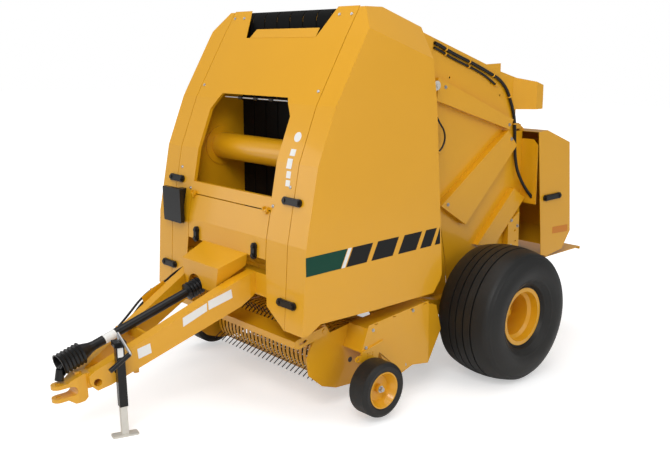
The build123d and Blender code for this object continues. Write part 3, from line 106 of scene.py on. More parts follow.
# Blank plate on the jack's tube: middle of its foot, half width and height, distance from the tube's axis
JACK_PLATE_FOOT = (176, -2862, 690)
JACK_PLATE = (18, 62)
JACK_PLATE_REACH = 27.3

# Section of a main tyre, as on the solid: bead, its top, belly and end of the tread as (across, radius)
TYRE_RADIUS = 525
TYRE_BEAD = (188.7, 204.3)
TYRE_BEAD_TOP = (188.7, 238)
TYRE_BELLY = (272.8, 385.3)
TYRE_TREAD_END = (222, 492)
TYRE_CROWN_X = (190, 160, 130)
TYRE_GROOVES = (101, 34)
TYRE_GROOVE_WIDTH = 12
TYRE_GROOVE_DEPTH = 15
TYRE_GROOVE_SLANT = 1.5
TYRE_RINGS = (5, 14, 42)
TYRE_RING_RISE = 3
TYRE_WALL_STEPS = 48
TYRE_STEPS = 128

# Crank's grip: its ends and radius; window's rod: half length, y, z, radius; bushes: half length, radius, x
CRANK_GRIP = ((322, -2868, 745), (322, -3004, 671), 16)
WINDOW_ROD = (372, -1600, 2226, 6)
WINDOW_BUSH = (20, 13)
WINDOW_BUSH_X = (-180, 0, 180)

# Valve stem: both ends, with x from the wheel's middle outwards, and its radius
VALVE_STEM = ((-14, 112, 625), (34, 126, 640), 6)

# Driveline's axis, radius, and the band on it: both ends from the front and the rise over the tube
SHAFT_REAR = (-70, -2085, 950)
SHAFT_FRONT = (-30, -2870, 742)
SHAFT_RADIUS = 31
SHAFT_BAND = (92, 6)
SHAFT_BAND_RISE = 1.2

# Gauge wheel: middle as (y, z), reach of its hub; washer and nut: start and end from the hub, radius
GAUGE_CENTRE = (-1405, 305.5)
GAUGE_HUB_REACH = 41
HUB_PARTS = (("washer", 0, 4, 24), ("nut", 4, 22, 15))

# Top roller as (y, z), its radius, and the bands between the belts: count, half width, rise
TOP_ROLLER = (-1210, 2762)
ROLLER_RADIUS = 62
BELT_PITCH = 147
ROLLER_BANDS = 7
ROLLER_BAND = (4, 3)

# Lip over the front sheet: left end, right end, rise; cut of its upper corners, seat, slant, thickness
PANEL_TOP_Z = 2645
HEAD_LIP = (-350, 400, 86)
HEAD_LIP_CUT = (10, 26)
HEAD_LIP_SEAT = (1, -2)
HEAD_LIP_UP = (0, 0.70, 0.71)
HEAD_LIP_SHEET = 4

# Band of painted shade on the net cover's side, in a deeper orange, as (y, z)
NET_COVER_X = 765
NET_SHADE_BAND = ((986, 950), (1220, 936), (1218, 998), (986, 1009))

# Rubber latch: width of a lobe, arc of a lobe in degrees, thickness, edge; knob: foot, top, height, lift
LATCH_WIDE = 54
LATCH_ARC = 230
LATCH_THICK = 22
LATCH_EDGE = 6
LATCH_KNOB = (17, 14, 12)
LATCH_KNOB_LIFT = 24

# Latches of a shield: heights, x of the first, step to the next; of the net cover: place, share of the
# length; of the front door: x, height, share of the length
LATCH_Z = (1612, 953)
LATCH_X = 694
LATCH_STEP = 28
NET_LATCH = (766, 949, 1284)
NET_LATCH_SHARE = 1.3
DOOR_LATCH = (355, 1240)
DOOR_LATCH_SHARE = 0.6

# Bolts of the left side, mirrored to the right: panel as (x, z), guards as (x, y, z), ribs as (y, z)
PANEL_BOLTS = ((665, 2300), (650, 1700), (500, 1560), (660, 2790), (540, 2790))
GUARD_BOLTS = ((900, -1400, 560), (900, -1010, 330), (900, -930, 720), (900, -1330, 670))
RIB_BOLTS = ((540, 1120), (540, 900), (625, 1060), (-330, 2270), (470, 1930), (-280, 1370), (505, 1810))
RIB_BOLT_X = 655.5
PANEL_BOLT_LIFT = 1

# Bolts of a main wheel: how many, radius of their ring, how far inside the track's middle
WHEEL_BOLTS = (8, 102, 19)

# Width of the heads across their flats, in metres; height of a head and washer's width as shares of it
PANEL_BOLT = 0.014
GUARD_BOLT = 0.016
RIB_BOLT = 0.018
WHEEL_BOLT = 0.024
HEAD_SHARE = 0.6
WASHER_SHARE = 1.6

# Floor: half its side, distances between which its glow changes, glow at both; light of the sky
FLOOR_HALF = 60
GLOW_REACH = (2.5, 7.0)
GLOW = (0.45, 0.80)
SKY_LIGHT = 0.48
SKY_MIRRORED = 0.28

# Lamps: name, place, the point it is aimed at, size, power
LAMPS = (("key", (5.5, -6.5, 7.0), (0, -0.5, 1.2), 4.0, 385),
         ("front", (-5.5, -7.0, 3.0), (0, -1.0, 1.2), 4.0, 75),
         ("side", (7.5, 2.0, 4.0), (0, 0, 1.2), 5.0, 85),
         ("top", (0, -1.0, 8.0), (0, 0, 1.0), 6.0, 180))


# Sizes and colours a user may change

def user_colour(name, text, default):
    """A colour that a user may change."""
    return bpy.props.FloatVectorProperty(name=name, description=text, subtype="COLOR", size=3, min=0, max=1,
                                         default=default)


def user_length(name, text, low, high, default):
    """A length that a user may change."""
    return bpy.props.FloatProperty(name=name, description=text, unit="LENGTH", min=low, max=high,
                                   default=default)


class BalerPaint(bpy.types.PropertyGroup):
    amber: user_colour("Amber", "Colour of the painted sheets", (0.74, 0.355, 0.005))
    black: user_colour("Black", "Colour of black paint and plastic", (0.006, 0.006, 0.0065))
    rubber: user_colour("Rubber", "Colour of tyres and belts", (0.011, 0.011, 0.0105))
    steel: user_colour("Steel", "Colour of plated fasteners", (0.55, 0.56, 0.58))
    stripe: user_colour("Stripe", "Colour of the block at the stripe's front", (0.004, 0.055, 0.033))


class BalerSizes(bpy.types.PropertyGroup):
    stripe_low: user_length("Stripe low edge", "Height of the stripe's lower edge", 0.9, 1.6, 1.162)
    stripe_high: user_length("Stripe high edge", "Height of the stripe's upper edge", 0.9, 1.6, 1.287)
    latch: user_length("Latch length", "Length of a rubber latch", 0.05, 0.4, 0.19)


def paint_of(context):
    return context.scene.baler_paint


def sizes_of(context):
    return context.scene.baler_sizes


# Shader groups and materials

def node(tree, kind, place=(0, 0), **values):
    """Adds a node, sets plain attributes and socket defaults by name, and returns it."""
    made = tree.nodes.new(kind)
    made.location = place
    for key, value in values.items():
        if hasattr(made, key):
            setattr(made, key, value)
        else:
            made.inputs[key.replace("_", " ")].default_value = value
    return made


def new_group(name, inputs, outputs):
    """A shader node group with its sockets; returns (group, input node, output node)."""
    group = bpy.data.node_groups.new(name, "ShaderNodeTree")
    for label, kind, default in inputs:
        socket = group.interface.new_socket(label, in_out="INPUT", socket_type=kind)
        socket.default_value = default
    for label, kind in outputs:
        group.interface.new_socket(label, in_out="OUTPUT", socket_type=kind)
    return group, group.nodes.new("NodeGroupInput"), group.nodes.new("NodeGroupOutput")


def mottle_group():
    """Slow drift of colour and gloss over a surface, with fine specks."""
    group, ins, outs = new_group(
        "surface_mottle",
        [("Color", "NodeSocketColor", (0.8, 0.8, 0.8, 1)), ("Drift", "NodeSocketFloat", 0.08),
         ("Drift Scale", "NodeSocketFloat", 3.0), ("Roughness", "NodeSocketFloat", 0.4),
         ("Grain Scale", "NodeSocketFloat", 400.0)],
        [("Color", "NodeSocketColor"), ("Roughness", "NodeSocketFloat"), ("Height", "NodeSocketFloat")])
    link = group.links.new
    place = node(group, "ShaderNodeTexCoord")
    slow = node(group, "ShaderNodeTexNoise", Detail=3.0)
    fine = node(group, "ShaderNodeTexNoise", Detail=2.0)
    link(place.outputs["Object"], slow.inputs["Vector"])
    link(place.outputs["Object"], fine.inputs["Vector"])
    link(ins.outputs["Drift Scale"], slow.inputs["Scale"])
    link(ins.outputs["Grain Scale"], fine.inputs["Scale"])
    centred = node(group, "ShaderNodeMath", operation="SUBTRACT")
    centred.inputs[1].default_value = 0.5
    link(slow.outputs["Fac"], centred.inputs[0])
    amount = node(group, "ShaderNodeMath", operation="MULTIPLY")
    link(centred.outputs[0], amount.inputs[0])
    link(ins.outputs["Drift"], amount.inputs[1])
    level = node(group, "ShaderNodeMath", operation="ADD")
    level.inputs[1].default_value = 1.0
    link(amount.outputs[0], level.inputs[0])
    tint = node(group, "ShaderNodeVectorMath", operation="SCALE")
    link(ins.outputs["Color"], tint.inputs[0])
    link(level.outputs[0], tint.inputs["Scale"])
    link(tint.outputs[0], outs.inputs["Color"])
    gloss = node(group, "ShaderNodeMath", operation="ADD")
    link(ins.outputs["Roughness"], gloss.inputs[0])
    link(amount.outputs[0], gloss.inputs[1])
    link(gloss.outputs[0], outs.inputs["Roughness"])
    link(fine.outputs["Fac"], outs.inputs["Height"])
    return group


def dust_group():
    """A film of pale dust in patches, that thickens towards the floor."""
    group, ins, outs = new_group(
        "field_dust",
        [("Color", "NodeSocketColor", (0.8, 0.8, 0.8, 1)), ("Dust", "NodeSocketColor", (0.42, 0.36, 0.28, 1)),
         ("Amount", "NodeSocketFloat", 0.15), ("Height", "NodeSocketFloat", 0.8)],
        [("Color", "NodeSocketColor"), ("Mask", "NodeSocketFloat")])
    link = group.links.new
    place = node(group, "ShaderNodeTexCoord")
    split = node(group, "ShaderNodeSeparateXYZ")
    link(place.outputs["Object"], split.inputs[0])
    fade = node(group, "ShaderNodeMapRange")
    link(split.outputs["Z"], fade.inputs["Value"])
    link(ins.outputs["Height"], fade.inputs["From Max"])
    fade.inputs["To Min"].default_value = 1.0
    fade.inputs["To Max"].default_value = 0.0
    patchy = node(group, "ShaderNodeTexNoise", Scale=9.0, Detail=5.0)
    link(place.outputs["Object"], patchy.inputs["Vector"])
    mask = node(group, "ShaderNodeMath", operation="MULTIPLY")
    link(fade.outputs[0], mask.inputs[0])
    link(patchy.outputs["Fac"], mask.inputs[1])
    scaled = node(group, "ShaderNodeMath", operation="MULTIPLY", use_clamp=True)
    link(mask.outputs[0], scaled.inputs[0])
    link(ins.outputs["Amount"], scaled.inputs[1])
    mix = node(group, "ShaderNodeMix", data_type="RGBA")
    link(scaled.outputs[0], mix.inputs[0])
    link(ins.outputs["Color"], mix.inputs[6])
    link(ins.outputs["Dust"], mix.inputs[7])
    link(mix.outputs[2], outs.inputs["Color"])
    link(scaled.outputs[0], outs.inputs["Mask"])
    return group


def finish(name, color, roughness, drift=0.05, grain=400.0, bump=0.02, dust=0.0, metallic=0.0, coat=0.0,
           drift_scale=3.0, specular=0.5):
    """A material: base colour that drifts, a fine grain as bump and, where asked, dust near the floor."""
    made = bpy.data.materials.new(name)
    made.use_nodes = True
    tree = made.node_tree
    shader = tree.nodes["Principled BSDF"]
    shader.inputs["Metallic"].default_value = metallic
    shader.inputs["Coat Weight"].default_value = coat
    shader.inputs["Coat Roughness"].default_value = 0.08
    shader.inputs["Specular IOR Level"].default_value = specular
    mottle = node(tree, "ShaderNodeGroup", (-700, 100))
    mottle.node_tree = bpy.data.node_groups["surface_mottle"]
    mottle.inputs["Color"].default_value = (*color, 1)
    mottle.inputs["Drift"].default_value = drift
    mottle.inputs["Drift Scale"].default_value = drift_scale
    mottle.inputs["Roughness"].default_value = roughness
    mottle.inputs["Grain Scale"].default_value = grain
    last = mottle.outputs["Color"]
    if dust:
        film = node(tree, "ShaderNodeGroup", (-450, 250))
        film.node_tree = bpy.data.node_groups["field_dust"]
        film.inputs["Amount"].default_value = dust
        tree.links.new(last, film.inputs["Color"])
        last = film.outputs["Color"]
    tree.links.new(last, shader.inputs["Base Color"])
    tree.links.new(mottle.outputs["Roughness"], shader.inputs["Roughness"])
    relief = node(tree, "ShaderNodeBump", (-300, -200), Distance=0.001)
    relief.inputs["Strength"].default_value = bump
    tree.links.new(mottle.outputs["Height"], relief.inputs["Height"])
    tree.links.new(relief.outputs["Normal"], shader.inputs["Normal"])
    return made


# Making pieces

def collect(name):
    """The collection that new pieces are linked to."""
    if name not in bpy.data.collections:
        bpy.context.scene.collection.children.link(bpy.data.collections.new(name))
    return bpy.data.collections[name]


def piece(name, mesh_data, body, material, smooth=None):
    """Parks a finished mesh given in level millimetres, paints it and fixes it to a body."""
    mesh_data.transform(PARK)
    if not mesh_data.materials:
        mesh_data.materials.append(bpy.data.materials[material])
    made = bpy.data.objects.new(name, mesh_data)
    collect("fittings").objects.link(made)
    if smooth is not None:
        for face in mesh_data.polygons:
            face.use_smooth = True
        mesh_data.set_sharp_from_angle(angle=math.radians(smooth))
    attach(made, body)
    return made


def to_mesh(name, bm):
    """Closes a bmesh into mesh data with its faces pointing outwards."""
    bmesh.ops.remove_doubles(bm, verts=bm.verts, dist=0.001)
    bmesh.ops.recalc_face_normals(bm, faces=bm.faces)
    data = bpy.data.meshes.new(name)
    bm.to_mesh(data)
    bm.free()
    return data


def plate(bm, outline, origin, across, up, thickness, bevel=0.0):
    """A flat plate: outline as (a, b) points along across and up from origin, thick along their normal."""
    across, up = Vector(across).normalized(), Vector(up).normalized()
    out = across.cross(up)
    origin = Vector(origin)
    low = [bm.verts.new(origin + across * a + up * b) for a, b in outline]
    face = bm.faces.new(low)
    raised = bmesh.ops.extrude_face_region(bm, geom=[face])
    moved = [part for part in raised["geom"] if isinstance(part, bmesh.types.BMVert)]
    bmesh.ops.translate(bm, verts=moved, vec=out * thickness)
    if bevel:
        rim = [edge for edge in bm.edges
               if all(vert in moved for vert in edge.verts) and edge.is_valid]
        bmesh.ops.bevel(bm, geom=rim, offset=bevel, segments=2, affect="EDGES")


def film(name, outline, origin, across, up, body, material, slot="amber_paint"):
    """A thin film or plate on a sheet, as a piece of its own."""
    bm = bmesh.new()
    plate(bm, outline, origin, across, up, SHEET_SKIN)
    piece(name, to_mesh(name, bm), body, material)


def lobe_outline(length, wide, steps=10):
    """Outline of a rubber latch: two round lobes joined by a narrower neck."""
    points = []
    half = length / 2
    for side in (1, -1):
        centre = side * (half - wide / 2)
        for step in range(steps + 1):
            angle = math.radians(-LATCH_ARC / 2 + LATCH_ARC * step / steps)
            points.append((centre + side * wide / 2 * math.cos(angle), side * wide / 2 * math.sin(angle)))
    return points


def front_y(z):
    """Where the front panel stands at a height."""
    for (y0, z0), (y1, z1) in zip(FRONT_BENDS, FRONT_BENDS[1:]):
        if z <= z1 or (y1, z1) == FRONT_BENDS[-1]:
            return y0 + (z - z0) * (y1 - y0) / (z1 - z0)


def front_up(z):
    """Direction up the front panel at a height."""
    rise = front_y(z + PANEL_PROBE) - front_y(z - PANEL_PROBE)
    return Vector((0, rise, 2 * PANEL_PROBE)).normalized()


# Geometry nodes

def fastener_tree():
    """Hex heads on washers, one at each point, turned to the point's facing."""
    tree = bpy.data.node_groups.new("hex_heads", "GeometryNodeTree")
    tree.interface.new_socket("Geometry", in_out="INPUT", socket_type="NodeSocketGeometry")
    for label, default in (("Across", 0.019), ("Height", 0.012), ("Washer", 0.030)):
        socket = tree.interface.new_socket(label, in_out="INPUT", socket_type="NodeSocketFloat")
        socket.default_value = default
    socket = tree.interface.new_socket("Material", in_out="INPUT", socket_type="NodeSocketMaterial")
    tree.interface.new_socket("Geometry", in_out="OUTPUT", socket_type="NodeSocketGeometry")
    ins = tree.nodes.new("NodeGroupInput")
    outs = tree.nodes.new("NodeGroupOutput")
    link = tree.links.new

    def half_of(socket):
        made = node(tree, "ShaderNodeMath", operation="MULTIPLY")
        made.inputs[1].default_value = 0.5
        link(socket, made.inputs[0])
        return made.outputs[0]

    head = node(tree, "GeometryNodeMeshCylinder", Vertices=6)
    link(half_of(ins.outputs["Across"]), head.inputs["Radius"])
    link(ins.outputs["Height"], head.inputs["Depth"])
    lift = node(tree, "GeometryNodeTransform")
    raised = node(tree, "ShaderNodeCombineXYZ")
    link(half_of(ins.outputs["Height"]), raised.inputs["Z"])
    link(head.outputs["Mesh"], lift.inputs["Geometry"])
    link(raised.outputs[0], lift.inputs["Translation"])
    washer = node(tree, "GeometryNodeMeshCylinder", Vertices=16, Depth=0.005)
    link(half_of(ins.outputs["Washer"]), washer.inputs["Radius"])
    both = node(tree, "GeometryNodeJoinGeometry")
    link(lift.outputs[0], both.inputs[0])
    link(washer.outputs["Mesh"], both.inputs[0])
    facing = node(tree, "GeometryNodeInputNamedAttribute", data_type="FLOAT_VECTOR", Name="facing")
    turn = node(tree, "FunctionNodeAlignRotationToVector", axis="Z")
    link(facing.outputs["Attribute"], turn.inputs["Vector"])
    each = node(tree, "GeometryNodeInstanceOnPoints")
    link(ins.outputs["Geometry"], each.inputs["Points"])
    link(both.outputs[0], each.inputs["Instance"])
    link(turn.outputs[0], each.inputs["Rotation"])
    real = node(tree, "GeometryNodeRealizeInstances")
    link(each.outputs[0], real.inputs[0])
    paint = node(tree, "GeometryNodeSetMaterial")
    link(real.outputs[0], paint.inputs["Geometry"])
    link(ins.outputs["Material"], paint.inputs["Material"])
    link(paint.outputs[0], outs.inputs[0])
    return tree


def grown(name, tree, places, material, **values):
    """Mesh data that a node tree grows on points, each given as (place, facing) in level millimetres."""
    seeds = bpy.data.meshes.new(name + "_seeds")
    seeds.from_pydata([PARK @ Vector(place) for place, _ in places], [], [])
    facing = seeds.attributes.new("facing", "FLOAT_VECTOR", "POINT")
    turn = PARK.to_3x3()
    for index, (_, way) in enumerate(places):
        facing.data[index].vector = (turn @ Vector(way)).normalized()
    carrier = bpy.data.objects.new(name + "_seeds", seeds)
    bpy.context.scene.collection.objects.link(carrier)
    modifier = carrier.modifiers.new("grow", "NODES")
    modifier.node_group = tree
    for item in tree.interface.items_tree:
        if item.item_type == "SOCKET" and item.in_out == "INPUT":
            if item.name in values:
                modifier[item.identifier] = values[item.name]
            elif item.name == "Material":
                modifier[item.identifier] = bpy.data.materials[material]
    bpy.context.view_layer.update()
    result = carrier.evaluated_get(bpy.context.evaluated_depsgraph_get())
    data = bpy.data.meshes.new_from_object(result)
    carrier.modifiers.remove(modifier)
    bpy.data.objects.remove(carrier)
    data.name = name
    return data


def bolts(name, body, places, across):
    """Bolt heads with washers as one piece on a body."""
    data = grown(name, bpy.data.node_groups["hex_heads"], places, "plated_steel", Across=across,
                 Height=across * HEAD_SHARE, Washer=across * WASHER_SHARE)
    made = bpy.data.objects.new(name, data)
    collect("fittings").objects.link(made)
    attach(made, body)
    return made


# Operators, one for each piece or group of like pieces

class Step:
    """What every step of the finish shares."""
    bl_options = {"REGISTER"}


class BALER_OT_finishes(Step, bpy.types.Operator):
    """Makes the finishes of paint, rubber, plastic and steel"""
    bl_idname = "baler.finishes"
    bl_label = "Finishes"

    def execute(self, context):
        paint = paint_of(context)
        mottle_group()
        dust_group()
        finish("amber_enamel", paint.amber, 0.36, drift=0.05, grain=260, bump=0.04, dust=0.05, coat=0.45)
        finish("black_enamel", paint.black, 0.24, drift=0.08, bump=0.03, dust=0.012, specular=0.35)
        finish("moulded_black", paint.black, 0.30, drift=0.1, grain=700, bump=0.08, dust=0.012, specular=0.4)
        finish("tyre_black", paint.rubber, 0.5, drift=0.12, grain=320, bump=0.2, dust=0.03, drift_scale=6,
               specular=0.4)
        finish("belt_black", tuple(0.4 * part for part in paint.rubber), 0.7, drift=0.12, grain=500, bump=0.3,
               drift_scale=9, specular=0.15)
        finish("plated_steel", paint.steel, 0.32, drift=0.12, bump=0.06, metallic=1.0)
        finish("hose_black", paint.black, 0.35, drift=0.1, grain=900, bump=0.1, specular=0.4)
        finish("tine_steel", (0.05, 0.05, 0.052), 0.4, drift=0.2, bump=0.1, metallic=0.6)
        finish("bare_steel", (0.72, 0.70, 0.64), 0.42, drift=0.15, bump=0.1, metallic=0.4)
        finish("stripe_green", paint.stripe, 0.35, drift=0.03, bump=0.02, specular=0.2)
        finish("stripe_black", (0.010, 0.010, 0.010), 0.35, drift=0.03, bump=0.02, specular=0.2)
        # Painted shade: a deeper orange that stands in for the shade on the net cover's side
        finish("mark_orange", (0.62, 0.20, 0.004), 0.35, drift=0.03, bump=0.02)
        finish("label_white", (0.80, 0.80, 0.78), 0.45, drift=0.03, bump=0.02, coat=0.2)
        fastener_tree()
        return {"FINISHED"}


PAINT_OF_SLOT = {
    "amber_paint": "amber_enamel",
    "black_paint": "black_enamel",
    "tyre_rubber": "tyre_black",
    "belt_rubber": "belt_black",
    "hose_rubber": "hose_black",
    "black_plastic": "moulded_black",
    "bright_steel": "bare_steel",
}
PAINT_OF_NODE = {
    "pickup_reel": "tine_steel",
    "jack_crank": "plated_steel",
}


class BALER_OT_paint(Step, bpy.types.Operator):
    """Paints every solid of the machine by its slot"""
    bl_idname = "baler.paint"
    bl_label = "Paint the machine"

    def execute(self, context):
        slots = {part["node"]: part["material_slot"] for part in frame["record"]["subparts"]}
        for name, solid in frame["nodes"].items():
            material = bpy.data.materials[PAINT_OF_NODE.get(name, PAINT_OF_SLOT[slots[name]])]
            if not solid.material_slots:
                solid.data.materials.append(material)
            for place in solid.material_slots:
                place.material = material
        return {"FINISHED"}


class BALER_OT_stripes(Step, bpy.types.Operator):
    """Lays the stripe with its slanted bars on each side shield"""
    bl_idname = "baler.stripes"
    bl_label = "Stripes"

    def execute(self, context):
        sizes = sizes_of(context)
        low, high = sizes.stripe_low * 1000, sizes.stripe_high * 1000
        bars = [("block", STRIPE_BLOCK, "stripe_green"), ("slash", STRIPE_SLASH, "label_white")]
        bars += [(f"bar{index}", bar, "stripe_black") for index, bar in enumerate(STRIPE_BARS)]
        for side, label in SIDES:
            for part, (low_front, low_rear, high_rear, high_front), material in bars:
                corners = [(low_front, low), (low_rear, low), (high_rear, high), (high_front, high)]
                film(f"stripe_{part}_{label}", [(side * y, z) for y, z in corners],
                     (side * (SHIELD_X + FILM_LIFT), 0, 0), (0, side, 0), (0, 0, 1),
                     f"side_shield_{label}", material)
        return {"FINISHED"}


def latch_mesh(name, place, along, out, length):
    """A rubber latch: a dumbbell plate with a round knob on each lobe."""
    along, out = Vector(along).normalized(), Vector(out).normalized()
    up = out.cross(along)
    foot, top, height = LATCH_KNOB
    bm = bmesh.new()
    plate(bm, lobe_outline(length, LATCH_WIDE), Vector(place) + out, along, up, LATCH_THICK, bevel=LATCH_EDGE)
    for end in (-1, 1):
        middle = Vector(place) + along * end * (length / 2 - LATCH_WIDE / 2) + out * LATCH_KNOB_LIFT
        knob = bmesh.ops.create_cone(bm, cap_ends=True, segments=16, radius1=foot, radius2=top, depth=height)
        turn = out.to_track_quat("Z", "Y").to_matrix().to_4x4()
        bmesh.ops.transform(bm, matrix=Matrix.Translation(middle) @ turn, verts=knob["verts"])
    return to_mesh(name, bm)


def tube_mesh(name, start, end, radius, segments=20):
    """A closed round bar between two points."""
    start, end = Vector(start), Vector(end)
    bm = bmesh.new()
    made = bmesh.ops.create_cone(bm, cap_ends=True, segments=segments, radius1=radius, radius2=radius,
                                 depth=(end - start).length)
    turn = (end - start).to_track_quat("Z", "Y").to_matrix().to_4x4()
    bmesh.ops.transform(bm, matrix=Matrix.Translation((start + end) / 2) @ turn, verts=made["verts"])
    return to_mesh(name, bm)


class BALER_OT_latches(Step, bpy.types.Operator):
    """Sets the rubber latches across the seams of the shields, the front door and the net cover"""
    bl_idname = "baler.latches"
    bl_label = "Latches"

    def execute(self, context):
        whole = sizes_of(context).latch * 1000

        def latch(name, body, place, along, out, share=1.0):
            piece(name, latch_mesh(name, place, along, out, whole * share), body, "moulded_black",
                  smooth=40)

        for side, label in SIDES:
            for index, z in enumerate(LATCH_Z):
                out = Vector((side, 0, 0)).cross(front_up(z)) * side
                place = (side * (LATCH_X + LATCH_STEP * index), front_y(z), z)
                latch(f"shield_latch{index}_{label}", f"side_shield_{label}", place, (1, 0, 0), out)
            x, y, z = NET_LATCH
            latch(f"net_latch_{label}", "net_cover", (side * x, y, z), (0, 1, 0), (side, 0, 0),
                  NET_LATCH_SHARE)
            x, z = DOOR_LATCH
            up = front_up(z)
            latch(f"door_latch_{label}", "front_door", (side * x, front_y(z), z), up,
                  Vector((1, 0, 0)).cross(up), DOOR_LATCH_SHARE)
        return {"FINISHED"}


class BALER_OT_plates(Step, bpy.types.Operator):
    """Lays the blank plates on the front strip, the left beam and the jack"""
    bl_idname = "baler.plates"
    bl_label = "Blank plates"

    def execute(self, context):
        def on_panel(name, outline, x, z):
            up = front_up(z)
            out = Vector((1, 0, 0)).cross(up)
            film(name, outline, Vector((x, front_y(z), z)) + out * FILM_LIFT, (1, 0, 0), up, "frame",
                 "label_white")

        for index, (x, z, width, height) in enumerate(STRIP_PLATES):
            half, rise = width / 2, height / 2
            corners = [(-half, -rise), (half, -rise), (half, rise), (-half, rise)]
            on_panel(f"strip_plate{index}", corners, x, z)
        x, z, radius = STRIP_DISC
        turns = [math.radians(360 / DISC_STEPS * step) for step in range(DISC_STEPS)]
        on_panel("strip_disc", [(radius * math.cos(turn), radius * math.sin(turn)) for turn in turns], x, z)
        upright = Vector((0, 0, 1))
        out = BEAM_RUN.cross(upright)
        for index, corners in enumerate(BEAM_PLATES):
            y0, z0 = corners[0]
            x0 = BEAM_START[0] + (y0 - BEAM_START[1]) * BEAM_SLOPE[0] / BEAM_SLOPE[1]
            film(f"beam_plate{index}", [((y - y0) / BEAM_RUN.y, z - z0) for y, z in corners],
                 Vector((x0, y0, z0)) + out * FILM_LIFT, BEAM_RUN, upright, "frame", "label_white")
        half, rise = JACK_PLATE
        film("jack_plate", [(-half, 0), (half, 0), (half, rise), (-half, rise)],
             Vector(JACK_PLATE_FOOT) + out * JACK_PLATE_REACH, BEAM_RUN, upright, "jack_tube", "label_white",
             "black_paint")
        return {"FINISHED"}


def circle_through(first, second, third):
    """Middle of the circle through three points."""
    (ax, ay), (bx, by), (cx, cy) = first, second, third
    twice = 2 * (ax * (by - cy) + bx * (cy - ay) + cx * (ay - by))
    a2, b2, c2 = ax * ax + ay * ay, bx * bx + by * by, cx * cx + cy * cy
    return ((a2 * (by - cy) + b2 * (cy - ay) + c2 * (ay - by)) / twice,
            (a2 * (cx - bx) + b2 * (ax - cx) + c2 * (bx - ax)) / twice)


def tyre_section():
    """A tyre's section as (across, radius): bead, ringed side wall, grooved tread, and the same mirrored."""
    half = [TYRE_BEAD]
    mx, mr = circle_through(TYRE_BEAD_TOP, TYRE_BELLY, TYRE_TREAD_END)
    first = math.atan2(TYRE_BEAD_TOP[1] - mr, TYRE_BEAD_TOP[0] - mx)
    last = math.atan2(TYRE_TREAD_END[1] - mr, TYRE_TREAD_END[0] - mx)
    round_wall = math.hypot(TYRE_BELLY[0] - mx, TYRE_BELLY[1] - mr)
    for step in range(TYRE_WALL_STEPS + 1):
        angle = first + (last - first) * step / TYRE_WALL_STEPS
        reach = round_wall + (TYRE_RING_RISE if step in TYRE_RINGS or step - 1 in TYRE_RINGS else 0)
        half.append((mx + reach * math.cos(angle), mr + reach * math.sin(angle)))
    drop = TYRE_RADIUS - TYRE_TREAD_END[1]
    round_crown = (TYRE_TREAD_END[0] ** 2 + drop ** 2) / (2 * drop)

    def crown(x):
        return TYRE_RADIUS - round_crown + math.sqrt(round_crown ** 2 - x ** 2)

    half += [(x, crown(x)) for x in TYRE_CROWN_X]
    for middle in TYRE_GROOVES:
        outer, inner = middle + TYRE_GROOVE_WIDTH / 2, middle - TYRE_GROOVE_WIDTH / 2
        half += [(outer, crown(outer)), (outer - TYRE_GROOVE_SLANT, crown(outer) - TYRE_GROOVE_DEPTH),
                 (inner + TYRE_GROOVE_SLANT, crown(inner) - TYRE_GROOVE_DEPTH), (inner, crown(inner))]
    return half + [(-x, r) for x, r in reversed(half)]


class BALER_OT_tyres(Step, bpy.types.Operator):
    """Dresses the main tyres with tread grooves and side wall rings, on the solids' own section"""
    bl_idname = "baler.tyres"
    bl_label = "Tyres"

    def execute(self, context):
        section = tyre_section()
        count = len(section)
        for label in ("left", "right"):
            low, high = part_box(f"main_tyre_{label}")
            middle = HALF_METRE * (low[0] + high[0])
            bm = bmesh.new()
            rings = []
            for step in range(TYRE_STEPS):
                angle = 2 * math.pi * step / TYRE_STEPS
                back, rise = math.cos(angle), math.sin(angle)
                rings.append([bm.verts.new((middle + x, r * back, TYRE_RADIUS + r * rise))
                              for x, r in section])
            for ring, following in zip(rings, rings[1:] + rings[:1]):
                for index in range(count):
                    after = (index + 1) % count
                    bm.faces.new((ring[index], ring[after], following[after], following[index]))
            name = f"tyre_{label}"
            made = piece(name, to_mesh(name, bm), f"main_wheel_{label}", "tyre_black",
                         smooth=38)
            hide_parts(f"main_tyre_{label}")
        return {"FINISHED"}


